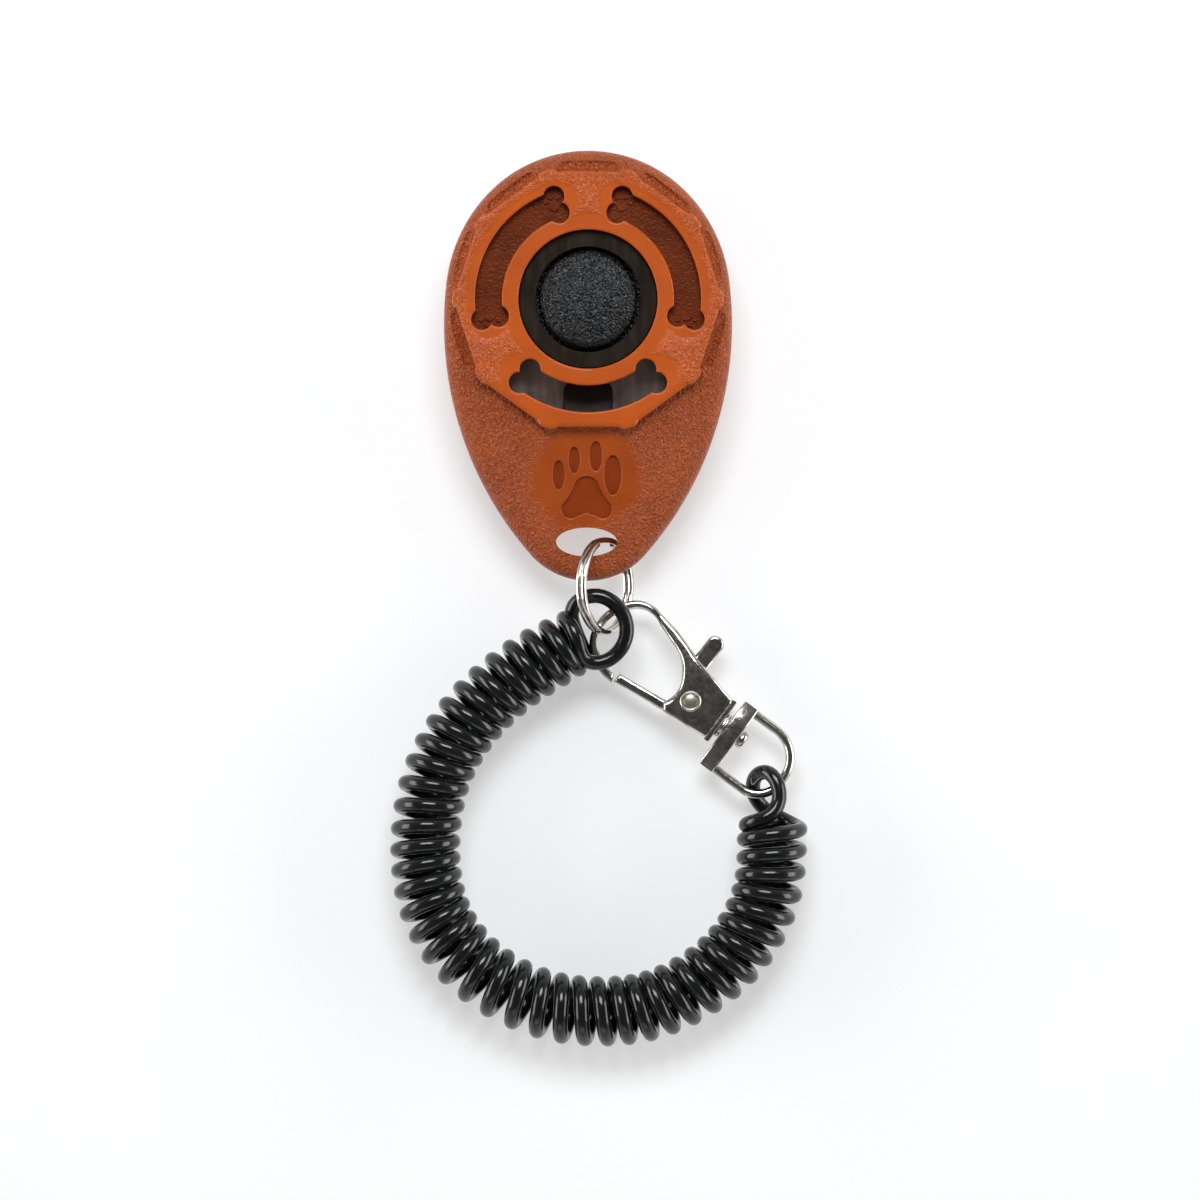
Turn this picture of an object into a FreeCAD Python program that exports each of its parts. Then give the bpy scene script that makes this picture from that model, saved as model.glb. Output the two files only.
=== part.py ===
import FreeCAD, Part
import math
import os

# A hand-held training clicker with a coil wrist strap. It lies on its flat back: X is across the
# case, Y runs from the lanyard hole to the crown, and Z is up through the button. The origin is the
# foot of the button's axis on the flat back. All lengths are in millimetres.

V = FreeCAD.Vector
UP = V(0, 0, 1)

# Egg outline of the case: arcs from the crown round to the tip. The tip's own arc closes it.
CROWN_Y = 22.8
EGG_RADII = (21.2, 23.7, 53.5)
EGG_TURNS = (47.7, 35.1, 48.5)

# Case, from the back upwards
PARTING_Z = 5.2
FLOOR_Z = 1.6
WALL = 2.0
ROOF = 1.8
TIP_Z = 4.2
TIP_RISE_START_Y = -15.0
TIP_RISE_END_Y = -35.0
DOME_RADIUS = 240.0
DOME_Y = 8.0
DOME_TOP_Z = 13.6
FRONT_EDGE_RADIUS = 2.6
BACK_EDGE_RADIUS = 0.8
CAVITY_END_Y = -30.5

# Raised ring round the button
RING_TOP_Z = 14.2
RING_RADIUS = 20.15
KNOB_COUNT = 10
KNOB_RADIUS = 20.8
KNOB_HALF_ANGLE = 3.3
KNOB_FOOT_ANGLE = 4.8
SLOT_SEGMENTS = (342, 18, 54, 90, 126, 162, 198)
SLOT_HALF_LENGTH = 3.7
SLOT_DISTANCE = 20.55
SLOT_ROUND = 0.85
SLOT_DEPTH = 0.55
RING_EDGE_RADIUS = 0.7

# Curved bones: two recesses and one window
BONE_RADIUS = 15.25
BONE_SHAFT_HALF = 2.05
LOBE_OFFSET = 1.3
LOBE_RADIUS = 1.6
BONE_END_GAP = 0.6
RECESS_ANGLES = (149.6, 30.4)
RECESS_HALF_ANGLE = 41.2
RECESS_FLOOR_Z = 12.3
WINDOW_ANGLE = 270.0
WINDOW_HALF_ANGLE = 39.5
OPENING_EDGE_RADIUS = 0.3
SMALL_PAW_HEIGHT = 0.3

# Engraved paw below the ring
PAW_DEPTH = 0.45
PAW_EDGE_RADIUS = 0.2
PAW_BOX = (V(-7, -34.5, 8), V(7, -21, 14))
PAW_TOES = (
    (-4.5, -26.9, 0.9, 2.2),
    (-2.1, -24.6, 0.85, 2.0),
    (1.2, -24.0, 0.95, 2.25),
    (3.8, -26.9, 1.3, 3.0),
)
PAW_PAD_X = -0.2
PAW_PAD_Y = -30.2

# Lanyard hole: it widens from the front face to the parting line
HOLE_X = -0.2
HOLE_Y = -37.1
HOLE_FRONT = (4.6, 2.15)
HOLE_PARTING = (5.7, 2.75)
HOLE_BACK = (6.5, 3.3)

# Button, its guide and the click plate
BUTTON_RADIUS = 7.55
BUTTON_BASE_Z = 7.45
BUTTON_FLANGE_RADIUS = 9.2
BUTTON_FLANGE_Z = (8.8, 9.9)
BUTTON_EDGE_RADIUS = 1.4
BUTTON_RIM_Z = 13.6
BUTTON_TOP_Z = 14.3
BUTTON_STEM_RADIUS = 3.0
BUTTON_HOLE_RADIUS = 10.65
GUIDE_RADIUS = 10.6
GUIDE_BORE = 8.1
GUIDE_LOWER_BORE = 9.4
GUIDE_LEDGE_Z = 10.0
GUIDE_Z = (8.2, 12.7)
GUIDE_FLANGE_RADIUS = 12.1
GUIDE_FLANGE_Z = (9.4, 10.9)
PLATE_Z = 5.4
PLATE_THICKNESS = 0.4
PLATE_HALF_WIDTH = 12.3
PLATE_Y = (-23.5, 12.5)
DIMPLE_RADIUS = 6.5
DIMPLE_HEIGHT = 1.6
CLAMP_HALF_WIDTH = 3.75
CLAMP_Y = (-23.5, -12.6)
CLAMP_THICKNESS = 1.8

# Screws
PLATE_SCREW_Y = -20.4
PLATE_SCREW_RADIUS = 1.0
CASE_SCREW_X = 15.2
CASE_SCREW_Y = 9.5
LOWER_SCREW_Y = -27.5
CASE_SCREW_RADIUS = 1.0
CASE_SCREW_HEAD = 2.0
BOSS_RADIUS = 2.6

# Split ring through the lanyard hole
SPLIT_CENTRE = V(2.6, -43.9, 7.1)
SPLIT_TILT = 59.0
SPLIT_OUTER = 7.5
SPLIT_INNER = 6.6
SPLIT_HALF_HEIGHT = 0.85
SPLIT_GAP = 0.06

# Coil strap
CORD_RADIUS = 1.15
COIL_RADIUS = 5.0
COIL_Z = 5.0
COIL_ROUTE = (
    (-1.5, -52.2), (-6.1, -54.5), (-12.7, -58.8), (-18.9, -64.8), (-23.2, -72.1), (-25.0, -80.1),
    (-25.0, -88.3), (-23.2, -95.2), (-18.9, -101.3), (-12.7, -105.9), (-5.5, -108.7), (1.8, -109.4),
    (9.5, -108.7), (17.2, -105.1), (23.3, -99.8), (27.2, -92.9), (28.4, -86.0), (28.2, -80.1),
)
ARC_SHARE = 0.45
RING_EYE_CENTRE = V(1.7, -50.65, 7.0)
RING_EYE_RADIUS = 4.2
RING_EYE_STRAIGHT = 1.2
HOOK_EYE_CENTRE = V(27.2, -75.9, 4.5)
HOOK_EYE_RADIUS = 3.4
HOOK_EYE_TILT = -68.0

# Snap hook, in its own frame: X from the bow to the swivel, Y to the thumb tab's side
HOOK_ORIGIN = V(20.7, -64.8, 4.4)
HOOK_TURN = -math.degrees(math.atan2(0.6, 0.8))
BOW_HALF_THICKNESS = 1.0
BODY_HALF_THICKNESS = 2.3
SLOT_HALF = 1.15
SLOT_X = (-11.2, -2.0)
PIVOT = V(-5.9, -0.4, 0)
PIVOT_RADIUS = 0.78
PIVOT_CLEARANCE = 0.05
LEVER_HALF_THICKNESS = 1.0
SPRING_WIRE = 0.2
SPRING_RADIUS = 1.35
STUD_Y = -0.4
STUD_RADIUS = 1.05
STUD_CLEARANCE = 0.07
EYE_BAR_X = (0.8, 3.4)
EYE_CENTRE_Y = -1.25
EYE_HALF_WIDTH = 5.2
EYE_WIRE = 0.72
EYE_END_X = 12.6
EYE_TOP_CORNER = 5.2
EYE_LOW_CORNER = 4.2


def polar(radius, degrees):
    angle = math.radians(degrees)
    return V(radius * math.cos(angle), radius * math.sin(angle), 0)


def line(start, end):
    return Part.LineSegment(start, end).toShape()


def arc(start, middle, end):
    return Part.Arc(start, middle, end).toShape()


def prism(edges, z_low, z_high):
    """Solid between two heights over a closed flat outline."""
    face = Part.Face(Part.Wire(edges))
    face.translate(V(0, 0, z_low - face.BoundBox.ZMin))
    return face.extrude(V(0, 0, z_high - z_low))


def post(x, y, radius, z_low, z_high):
    return Part.makeCylinder(radius, z_high - z_low, V(x, y, z_low))


def block(low, high):
    size = high - low
    return Part.makeBox(size.x, size.y, size.z, low)


def round_edges(solid, radius, chosen):
    edges = [edge for edge in solid.Edges if chosen(edge)]
    return solid.makeFillet(radius, edges)


def turned(profile):
    """Solid of revolution about Z of a closed profile of edges in the XZ plane."""
    return Part.Face(Part.Wire(profile)).revolve(V(0, 0, 0), UP, 360)


# ---- case outline ----


def egg_centres():
    """Centre, radius, first and last heading of each arc down the right side of the outline."""
    point = V(0, CROWN_Y, 0)
    heading = 0.0
    arcs = []
    for radius, turn in zip(EGG_RADII, EGG_TURNS):
        centre = point - V(math.sin(heading), math.cos(heading), 0) * radius
        end = heading + math.radians(turn)
        arcs.append((centre, radius, heading, end))
        point = centre + V(math.sin(end), math.cos(end), 0) * radius
        heading = end
    tip_radius = point.x / math.sin(heading)
    tip_centre = V(0, point.y - tip_radius * math.cos(heading), 0)
    arcs.append((tip_centre, tip_radius, heading, math.pi))
    return arcs


def egg_edges(inset=0.0):
    """Closed outline of the case, moved inwards by inset."""

    def at(part, heading, side=1):
        centre, radius = part[0], part[1]
        reach = radius - inset
        return V(side * (centre.x + reach * math.sin(heading)), centre.y + reach * math.cos(heading), 0)

    crown, shoulder, flank, tip = egg_centres()
    edges = [arc(at(crown, crown[3], -1), at(crown, 0), at(crown, crown[3]))]
    for part in (shoulder, flank):
        middle = (part[2] + part[3]) / 2
        edges.append(arc(at(part, part[2]), at(part, middle), at(part, part[3])))
    edges.append(arc(at(tip, tip[2]), at(tip, math.pi), at(tip, tip[2], -1)))
    for part in (flank, shoulder):
        middle = (part[2] + part[3]) / 2
        edges.append(arc(at(part, part[3], -1), at(part, middle, -1), at(part, part[2], -1)))
    return edges


def dome(depth=0.0):
    """Ball whose top is the front surface, or a surface that much below it."""
    return Part.makeSphere(DOME_RADIUS - depth, V(0, DOME_Y, DOME_TOP_Z - DOME_RADIUS))


def ellipse_wire(x, y, half_x, half_y, z):
    if half_x >= half_y:
        curve = Part.Ellipse(V(x, y, z), half_x, half_y)
        return Part.Wire(curve.toShape())
    curve = Part.Ellipse(V(x, y + half_y, z), V(x + half_x, y, z), V(x, y, z))
    return Part.Wire(curve.toShape())


# ---- features of the front cover ----


def knob_ring():
    """Disc with round knobs and straight edges between them, as high as the ring's face."""
    pitch = 360.0 / KNOB_COUNT
    edges = []
    for k in range(KNOB_COUNT):
        middle = k * pitch
        foot = polar(RING_RADIUS, middle - KNOB_FOOT_ANGLE)
        start = polar(KNOB_RADIUS - 0.15, middle - KNOB_HALF_ANGLE)
        end = polar(KNOB_RADIUS - 0.15, middle + KNOB_HALF_ANGLE)
        far_foot = polar(RING_RADIUS, middle + KNOB_FOOT_ANGLE)
        edges.append(line(foot, start))
        edges.append(arc(start, polar(KNOB_RADIUS, middle), end))
        edges.append(line(end, far_foot))
        edges.append(line(far_foot, polar(RING_RADIUS, middle + pitch - KNOB_FOOT_ANGLE)))
    disc = prism(edges, PARTING_Z + 4, RING_TOP_Z)
    return round_edges(disc, RING_EDGE_RADIUS, lambda e: e.BoundBox.ZMin > RING_TOP_Z - 0.01)


def ring_slot(degrees):
    """Cutter of the round-bottomed groove in the shell beside one straight edge of the ring."""
    middle = polar(SLOT_DISTANCE, degrees)
    from_axis = math.hypot(middle.x, middle.y - DOME_Y)
    surface = DOME_TOP_Z - from_axis**2 / (2 * DOME_RADIUS)
    start = V(SLOT_DISTANCE, -SLOT_HALF_LENGTH, surface + SLOT_ROUND - SLOT_DEPTH)
    end = start + V(0, 2 * SLOT_HALF_LENGTH, 0)
    groove = Part.makeCylinder(SLOT_ROUND, 2 * SLOT_HALF_LENGTH, start, V(0, 1, 0))
    groove = groove.fuse([Part.makeSphere(SLOT_ROUND, start), Part.makeSphere(SLOT_ROUND, end)])
    groove.rotate(V(0, 0, 0), UP, degrees)
    return groove


def bone(centre_angle, half_angle, z_low, z_high):
    """Curved bone with two round lobes at each end."""
    end_angle = half_angle + math.degrees(BONE_END_GAP / BONE_RADIUS)
    inner = BONE_RADIUS - BONE_SHAFT_HALF
    outer = BONE_RADIUS + BONE_SHAFT_HALF
    first = centre_angle - end_angle
    last = centre_angle + end_angle
    edges = [
        arc(polar(inner, first), polar(inner, centre_angle), polar(inner, last)),
        line(polar(inner, last), polar(outer, last)),
        arc(polar(outer, last), polar(outer, centre_angle), polar(outer, first)),
        line(polar(outer, first), polar(inner, first)),
    ]
    shape = prism(edges, z_low, z_high)
    lobes = []
    for side in (-1, 1):
        for offset in (-LOBE_OFFSET, LOBE_OFFSET):
            centre = polar(BONE_RADIUS + offset, centre_angle + side * half_angle)
            lobes.append(post(centre.x, centre.y, LOBE_RADIUS, z_low, z_high))
    shape = shape.fuse(lobes).removeSplitter()
    neck_angle = half_angle - math.degrees(2.6 / BONE_RADIUS)

    def is_corner(edge):
        box = edge.BoundBox
        if box.ZLength < 1 or box.XLength > 0.01 or box.YLength > 0.01:
            return False
        angle = math.degrees(math.atan2(box.Center.y, box.Center.x)) - centre_angle
        angle = abs((angle + 180) % 360 - 180)
        return neck_angle < angle < half_angle

    return round_edges(shape, 0.5, is_corner)


def small_paw(angle):
    """Small raised paw on a recess floor: one pad and four toes."""
    low, high = RECESS_FLOOR_Z - 0.2, RECESS_FLOOR_Z + SMALL_PAW_HEIGHT
    centre = polar(BONE_RADIUS, angle)
    outward = 90 if centre.y > 5 else 270
    pieces = [post(centre.x, centre.y, 0.8, low, high)]
    for turn in (-66, -23, 23, 66):
        toe = centre + polar(1.45, outward + turn)
        pieces.append(post(toe.x, toe.y, 0.38, low, high))
    return pieces


def paw_pad():
    """Three-lobed pad of the engraved paw."""
    x, y = PAW_PAD_X, PAW_PAD_Y

    def at(dx, dy):
        return V(x + dx, y + dy, 0)

    edges = [
        arc(at(-1.9, 1.7), at(0, 3.1), at(1.9, 1.7)),
        arc(at(1.9, 1.7), at(2.6, 0.2), at(3.6, -1.1)),
        arc(at(3.6, -1.1), at(3.35, -3.0), at(1.6, -3.0)),
        arc(at(1.6, -3.0), at(0.9, -2.75), at(0, -2.45)),
        arc(at(0, -2.45), at(-0.9, -2.75), at(-1.6, -3.0)),
        arc(at(-1.6, -3.0), at(-3.35, -3.0), at(-3.6, -1.1)),
        arc(at(-3.6, -1.1), at(-2.6, 0.2), at(-1.9, 1.7)),
    ]
    return prism(edges, PARTING_Z, RING_TOP_Z)


def paw_engraving():
    """Cutters of the engraved paw, with floors parallel to the front surface."""
    cutters = [paw_pad()]
    for x, y, half_x, half_y in PAW_TOES:
        wire = ellipse_wire(x, y, half_x, half_y, PARTING_Z)
        cutters.append(Part.Face(wire).extrude(V(0, 0, RING_TOP_Z - PARTING_Z)))
    floor = dome(PAW_DEPTH)
    return [cutter.cut(floor) for cutter in cutters]


def lanyard_hole():
    low = ellipse_wire(HOLE_X, HOLE_Y, *HOLE_PARTING, PARTING_Z)
    high = ellipse_wire(HOLE_X, HOLE_Y, *HOLE_FRONT, DOME_TOP_Z - 4.0)
    top = ellipse_wire(HOLE_X, HOLE_Y, HOLE_FRONT[0] - 0.1, HOLE_FRONT[1] - 0.1, DOME_TOP_Z)
    lower = Part.makeLoft([low, high], True, True)
    upper = Part.makeLoft([high, top], True, True)
    return lower.fuse(upper)


def front_cavity():
    inside = prism(egg_edges(WALL), PARTING_Z, RING_TOP_Z)
    inside = inside.common(dome(ROOF))
    return inside.cut(block(V(-30, -60, 0), V(30, CAVITY_END_Y, 20)))


def case_screw_places():
    return {
        "case_screw_left": (-CASE_SCREW_X, CASE_SCREW_Y),
        "case_screw_right": (CASE_SCREW_X, CASE_SCREW_Y),
        "case_screw_lower": (0.0, LOWER_SCREW_Y),
    }


def screw_top(name):
    return 8.6 if name == "case_screw_lower" else 9.6


def screw_seat(name):
    """Height of the face that the screw's head sits on, inside the back cover."""
    return 4.2 if name == "case_screw_lower" else 2.4


def is_opening_edge(edge):
    """True for the edges of the button hole and the bones in the ring's face."""
    box = edge.BoundBox
    outermost = max(math.hypot(vertex.X, vertex.Y) for vertex in edge.Vertexes)
    return box.ZMin > RING_TOP_Z - 0.01 and outermost < RING_RADIUS - 1


def is_paw_edge(edge):
    """True for the upper edges of the engraved paw, which lie on the dome."""
    low, high = PAW_BOX
    box = edge.BoundBox
    if box.XMin < low.x or box.YMin < low.y or box.ZMin < low.z:
        return False
    if box.XMax > high.x or box.YMax > high.y:
        return False
    centre = V(0, DOME_Y, DOME_TOP_Z - DOME_RADIUS)
    return all(abs(v.Point.distanceToPoint(centre) - DOME_RADIUS) < 0.02 for v in edge.Vertexes)


def front_cover():
    shell = prism(egg_edges(), PARTING_Z, RING_TOP_Z + 2).common(dome())
    shell = round_edges(shell, FRONT_EDGE_RADIUS, lambda e: e.BoundBox.ZMin > PARTING_Z + 1.5)
    ring = knob_ring()
    shell = shell.fuse(ring)
    shell = shell.cut([ring_slot(degrees).cut(ring) for degrees in SLOT_SEGMENTS])
    shell = shell.cut(front_cavity())
    bosses = []
    for name, (x, y) in case_screw_places().items():
        bosses.append(post(x, y, BOSS_RADIUS, PARTING_Z, screw_top(name) + 1.4))
    shell = shell.fuse(bosses)
    bores = [post(0, 0, BUTTON_HOLE_RADIUS, 0, 20)]
    for name, (x, y) in case_screw_places().items():
        bores.append(post(x, y, CASE_SCREW_RADIUS, 0, screw_top(name)))
    bones = [bone(angle, RECESS_HALF_ANGLE, RECESS_FLOOR_Z, 20) for angle in RECESS_ANGLES]
    bones.append(bone(WINDOW_ANGLE, WINDOW_HALF_ANGLE, 0, 20))
    shell = shell.cut(bores + bones + paw_engraving() + [lanyard_hole()]).removeSplitter()
    shell = round_edges(shell, OPENING_EDGE_RADIUS, is_opening_edge)
    shell = round_edges(shell, PAW_EDGE_RADIUS, is_paw_edge)
    paws = []
    for angle in RECESS_ANGLES:
        for side in (-1, 1):
            paws += small_paw(angle + side * (RECESS_HALF_ANGLE - 1.5))
    return shell.fuse(paws).removeSplitter()


# ---- back cover ----


def tip_rise():
    """Space under the raised tip, bounded above by two tangent arcs and a level ledge."""
    length = TIP_RISE_START_Y - TIP_RISE_END_Y
    radius = (length**2 + TIP_Z**2) / (4 * TIP_Z)
    half_angle = math.asin(length / 2 / radius) / 2
    middle = V(0, TIP_RISE_START_Y - length / 2, TIP_Z / 2)
    run = radius * math.sin(half_angle)
    sag = radius * (1 - math.cos(half_angle))
    start = V(0, TIP_RISE_START_Y, 0)
    end = V(0, TIP_RISE_END_Y, TIP_Z)
    edges = [
        arc(start, V(0, start.y - run, sag), middle),
        arc(middle, V(0, end.y + run, end.z - sag), end),
        line(end, V(0, -60, TIP_Z)),
        line(V(0, -60, TIP_Z), V(0, -60, -1)),
        line(V(0, -60, -1), V(0, start.y, -1)),
        line(V(0, start.y, -1), start),
    ]
    face = Part.Face(Part.Wire(edges))
    face.translate(V(-30, 0, 0))
    return face.extrude(V(60, 0, 0))


def back_cover():
    shell = prism(egg_edges(), 0, PARTING_Z).cut(tip_rise())
    top = PARTING_Z - 0.01
    shell = round_edges(shell, BACK_EDGE_RADIUS, lambda e: e.BoundBox.ZMax < top)
    inside = prism(egg_edges(WALL), FLOOR_Z, PARTING_Z + 1)
    shell = shell.cut(inside.cut(block(V(-30, -60, 0), V(30, -13.0, 20))))
    deep_end = prism(egg_edges(WALL), PARTING_Z - 1.0, PARTING_Z + 1)
    shell = shell.cut(deep_end.cut(block(V(-30, -60, 0), V(30, CAVITY_END_Y, 20))))
    pad = block(V(-6, PLATE_Y[0], FLOOR_Z), V(6, -14.0, PLATE_Z))
    posts = [post(side * 8.8, 10.3, 1.5, FLOOR_Z - 0.1, PLATE_Z) for side in (-1, 1)]
    bosses = []
    bores = [post(0, PLATE_SCREW_Y, PLATE_SCREW_RADIUS, 2.6, 20)]
    for name, (x, y) in case_screw_places().items():
        seat = screw_seat(name)
        bosses.append(post(x, y, BOSS_RADIUS, seat - 0.9, PARTING_Z))
        bores.append(post(x, y, CASE_SCREW_RADIUS + 0.15, 0, 20))
        bores.append(post(x, y, CASE_SCREW_HEAD + 0.2, -1, seat))
    shell = shell.fuse([pad] + posts + bosses)
    hole = Part.Face(ellipse_wire(HOLE_X, HOLE_Y, *HOLE_BACK, 0)).extrude(V(0, 0, 20))
    return shell.cut(bores + [hole]).removeSplitter()


# ---- button and click mechanism ----


def button():
    low, high = BUTTON_FLANGE_Z
    edge = BUTTON_EDGE_RADIUS
    rim = V(BUTTON_RADIUS - edge, 0, BUTTON_RIM_Z)
    side = V(BUTTON_RADIUS, 0, BUTTON_RIM_Z - edge)
    corner = V(rim.x + edge * math.sin(math.pi / 4), 0, side.z + edge * math.cos(math.pi / 4))
    top = V(0, 0, BUTTON_TOP_Z)
    height = BUTTON_TOP_Z - BUTTON_RIM_Z
    cap_radius = (rim.x**2 + height**2) / (2 * height)
    half_angle = math.asin(rim.x / cap_radius) / 2
    drop = cap_radius * (1 - math.cos(half_angle))
    crown = V(cap_radius * math.sin(half_angle), 0, BUTTON_TOP_Z - drop)
    points = [
        V(0, 0, BUTTON_BASE_Z),
        V(BUTTON_STEM_RADIUS, 0, BUTTON_BASE_Z),
        V(BUTTON_STEM_RADIUS, 0, low),
        V(BUTTON_FLANGE_RADIUS, 0, low),
        V(BUTTON_FLANGE_RADIUS, 0, high),
        V(BUTTON_RADIUS, 0, high),
        side,
    ]
    edges = [line(a, b) for a, b in zip(points, points[1:])]
    edges += [arc(side, corner, rim), arc(rim, crown, top), line(top, points[0])]
    return turned(edges)


def button_guide():
    low, high = GUIDE_Z
    body = post(0, 0, GUIDE_RADIUS, low, high)
    body = round_edges(body, 0.3, lambda e: e.BoundBox.ZMin > high - 0.01)
    body = body.fuse(post(0, 0, GUIDE_FLANGE_RADIUS, *GUIDE_FLANGE_Z))
    body = body.cut(post(0, 0, GUIDE_LOWER_BORE, low - 1, GUIDE_LEDGE_Z))
    return body.cut(post(0, 0, GUIDE_BORE, low, high + 1))


def click_plate():
    """Spring plate with a spherical dimple under the button."""
    low, high = V(-PLATE_HALF_WIDTH, PLATE_Y[0], PLATE_Z), V(PLATE_HALF_WIDTH, PLATE_Y[1], PLATE_Z)
    plate = block(low, high + V(0, 0, PLATE_THICKNESS))
    plate = round_edges(plate, 2.0, lambda e: e.BoundBox.ZLength > 0.3)
    plate = plate.cut(post(0, 0, DIMPLE_RADIUS, 0, 20))
    ball = (DIMPLE_RADIUS**2 + DIMPLE_HEIGHT**2) / (2 * DIMPLE_HEIGHT)
    top = PLATE_Z + PLATE_THICKNESS + DIMPLE_HEIGHT
    outer = Part.makeSphere(ball, V(0, 0, top - ball))
    inner = Part.makeSphere(ball, V(0, 0, top - ball - PLATE_THICKNESS))
    cap = post(0, 0, DIMPLE_RADIUS, PLATE_Z, top + 1).common(outer).cut(inner)
    plate = plate.fuse(cap)
    return plate.cut(post(0, PLATE_SCREW_Y, PLATE_SCREW_RADIUS + 0.2, 0, 20)).removeSplitter()


def plate_clamp():
    low = PLATE_Z + PLATE_THICKNESS
    high = low + CLAMP_THICKNESS
    tongue = block(V(-CLAMP_HALF_WIDTH, CLAMP_Y[0], low), V(CLAMP_HALF_WIDTH, CLAMP_Y[1], high))
    tongue = round_edges(
        tongue, 1.5, lambda e: e.BoundBox.ZLength > 1 and e.BoundBox.Center.y > CLAMP_Y[1] - 1
    )
    tongue = round_edges(tongue, 0.3, lambda e: e.BoundBox.ZMin > low + CLAMP_THICKNESS - 0.01)
    return tongue.cut(post(0, PLATE_SCREW_Y, PLATE_SCREW_RADIUS + 0.15, 0, 20))


def pan_screw(x, y, shaft, head, shaft_z, head_z, head_up):
    """Round-headed screw along Z with a cross recess in its head."""
    body = post(x, y, shaft, *shaft_z).fuse(post(x, y, head, *head_z))
    outer_z = head_z[1] if head_up else head_z[0]
    body = round_edges(body, 0.3, lambda e: abs(e.BoundBox.Center.z - outer_z) < 0.01)
    depth = 0.6
    low = outer_z - depth if head_up else outer_z - 1
    high = outer_z + 1 if head_up else outer_z + depth
    for half_x, half_y in ((head * 0.6, 0.25), (0.25, head * 0.6)):
        body = body.cut(block(V(x - half_x, y - half_y, low), V(x + half_x, y + half_y, high)))
    return body


def plate_screw():
    seat = PLATE_Z + PLATE_THICKNESS + CLAMP_THICKNESS
    return pan_screw(0, PLATE_SCREW_Y, PLATE_SCREW_RADIUS, 1.9, (2.7, seat), (seat, seat + 1.2), True)


def case_screw(name):
    x, y = case_screw_places()[name]
    seat = screw_seat(name)
    shaft_z = (seat, screw_top(name) - 0.3)
    return pan_screw(x, y, CASE_SCREW_RADIUS, CASE_SCREW_HEAD, shaft_z, (seat - 1.1, seat), False)


# ---- split ring ----


def ring_sector(inner, outer, z_low, z_high, start, sweep):
    corners = [V(inner, 0, z_low), V(outer, 0, z_low), V(outer, 0, z_high), V(inner, 0, z_high)]
    edges = [line(a, b) for a, b in zip(corners, corners[1:] + corners[:1])]
    sector = Part.Face(Part.Wire(edges)).revolve(V(0, 0, 0), UP, sweep)
    sector.rotate(V(0, 0, 0), UP, start)
    return sector


def split_ring():
    """Two flat turns side by side, joined over a short stretch, each with its cut end."""
    body = ring_sector(SPLIT_INNER, SPLIT_OUTER, -SPLIT_HALF_HEIGHT, SPLIT_HALF_HEIGHT, 0, 360)
    body = round_edges(body, 0.25, lambda e: e.Length > 10)
    half_gap = SPLIT_GAP / 2
    inner, outer = SPLIT_INNER - 1, SPLIT_OUTER + 1
    cuts = [
        ring_sector(inner, outer, -half_gap, half_gap, 110, 320),
        ring_sector(inner, outer, -half_gap, 2, 111, 3),
        ring_sector(inner, outer, -2, half_gap, 66, 3),
    ]
    body = body.cut(cuts)
    body.rotate(V(0, 0, 0), V(0, 1, 0), SPLIT_TILT)
    body.translate(SPLIT_CENTRE)
    return body


# ---- coil strap ----


def rounded_route(points):
    """Runs joined by tangent arcs, as one wire, with the arcs' radii and the wire's length."""
    arcs, radii = [], []
    for before, corner, after in zip(points, points[1:], points[2:]):
        into, out = corner - before, after - corner
        turn = into.getAngle(out)
        reach = ARC_SHARE * min(into.Length, out.Length)
        radius = reach / math.tan(turn / 2)
        start = corner - into.normalize() * reach
        end = corner + out.normalize() * reach
        inward = (start + end) * 0.5 - corner
        depth = radius / math.cos(turn / 2) - radius
        arcs.append((start, corner + inward.normalize() * depth, end))
        radii.append(radius)
    edges = []
    last = points[0]
    for start, middle, end in arcs:
        edges.append(line(last, start))
        edges.append(arc(start, middle, end))
        last = end
    edges.append(line(last, points[-1]))
    wire = Part.Wire(edges)
    return wire, radii


def pipe(wire, radius, start, direction):
    circle = Part.Wire(Part.makeCircle(radius, start, direction))
    return wire.makePipeShell([circle], True, False)


def cord_coil():
    """Outer shape of the curly stretch: one fat tube along its centre line."""
    points = [V(x, y, COIL_Z) for x, y in COIL_ROUTE]
    wire, radii = rounded_route(points)
    tube = pipe(wire, COIL_RADIUS, points[0], points[1] - points[0])
    section = math.pi * COIL_RADIUS**2
    print("coil arc radii", [round(r, 1) for r in radii])
    print("coil volume", round(tube.Volume), "section x length", round(section * wire.Length))
    return tube


def cord_eye_ring_end():
    """Loop of the cord round the split ring: two half circles joined by short straights."""
    radius, half = RING_EYE_RADIUS, RING_EYE_STRAIGHT / 2
    right, left = V(radius, half, 0), V(-radius, half, 0)
    low_left, low_right = V(-radius, -half, 0), V(radius, -half, 0)
    edges = [
        arc(right, V(0, radius + half, 0), left),
        line(left, low_left),
        arc(low_left, V(0, -radius - half, 0), low_right),
        line(low_right, right),
    ]
    loop = pipe(Part.Wire(edges), CORD_RADIUS, right, V(0, 1, 0))
    loop.translate(RING_EYE_CENTRE)
    return loop


def cord_eye_hook_end():
    """Loop of the cord round the D ring's far corner."""
    loop = Part.makeTorus(HOOK_EYE_RADIUS, CORD_RADIUS)
    loop.rotate(V(0, 0, 0), V(0, 1, 0), HOOK_EYE_TILT)
    loop.translate(HOOK_EYE_CENTRE)
    return loop


# ---- snap hook ----


def in_place(solid):
    """From the hook's own frame to the object's."""
    solid.rotate(V(0, 0, 0), UP, HOOK_TURN)
    solid.translate(HOOK_ORIGIN)
    return solid


def along_x(radius, x_low, x_high, y=0.0):
    return Part.makeCylinder(radius, x_high - x_low, V(x_low, y, 0), V(1, 0, 0))


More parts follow.
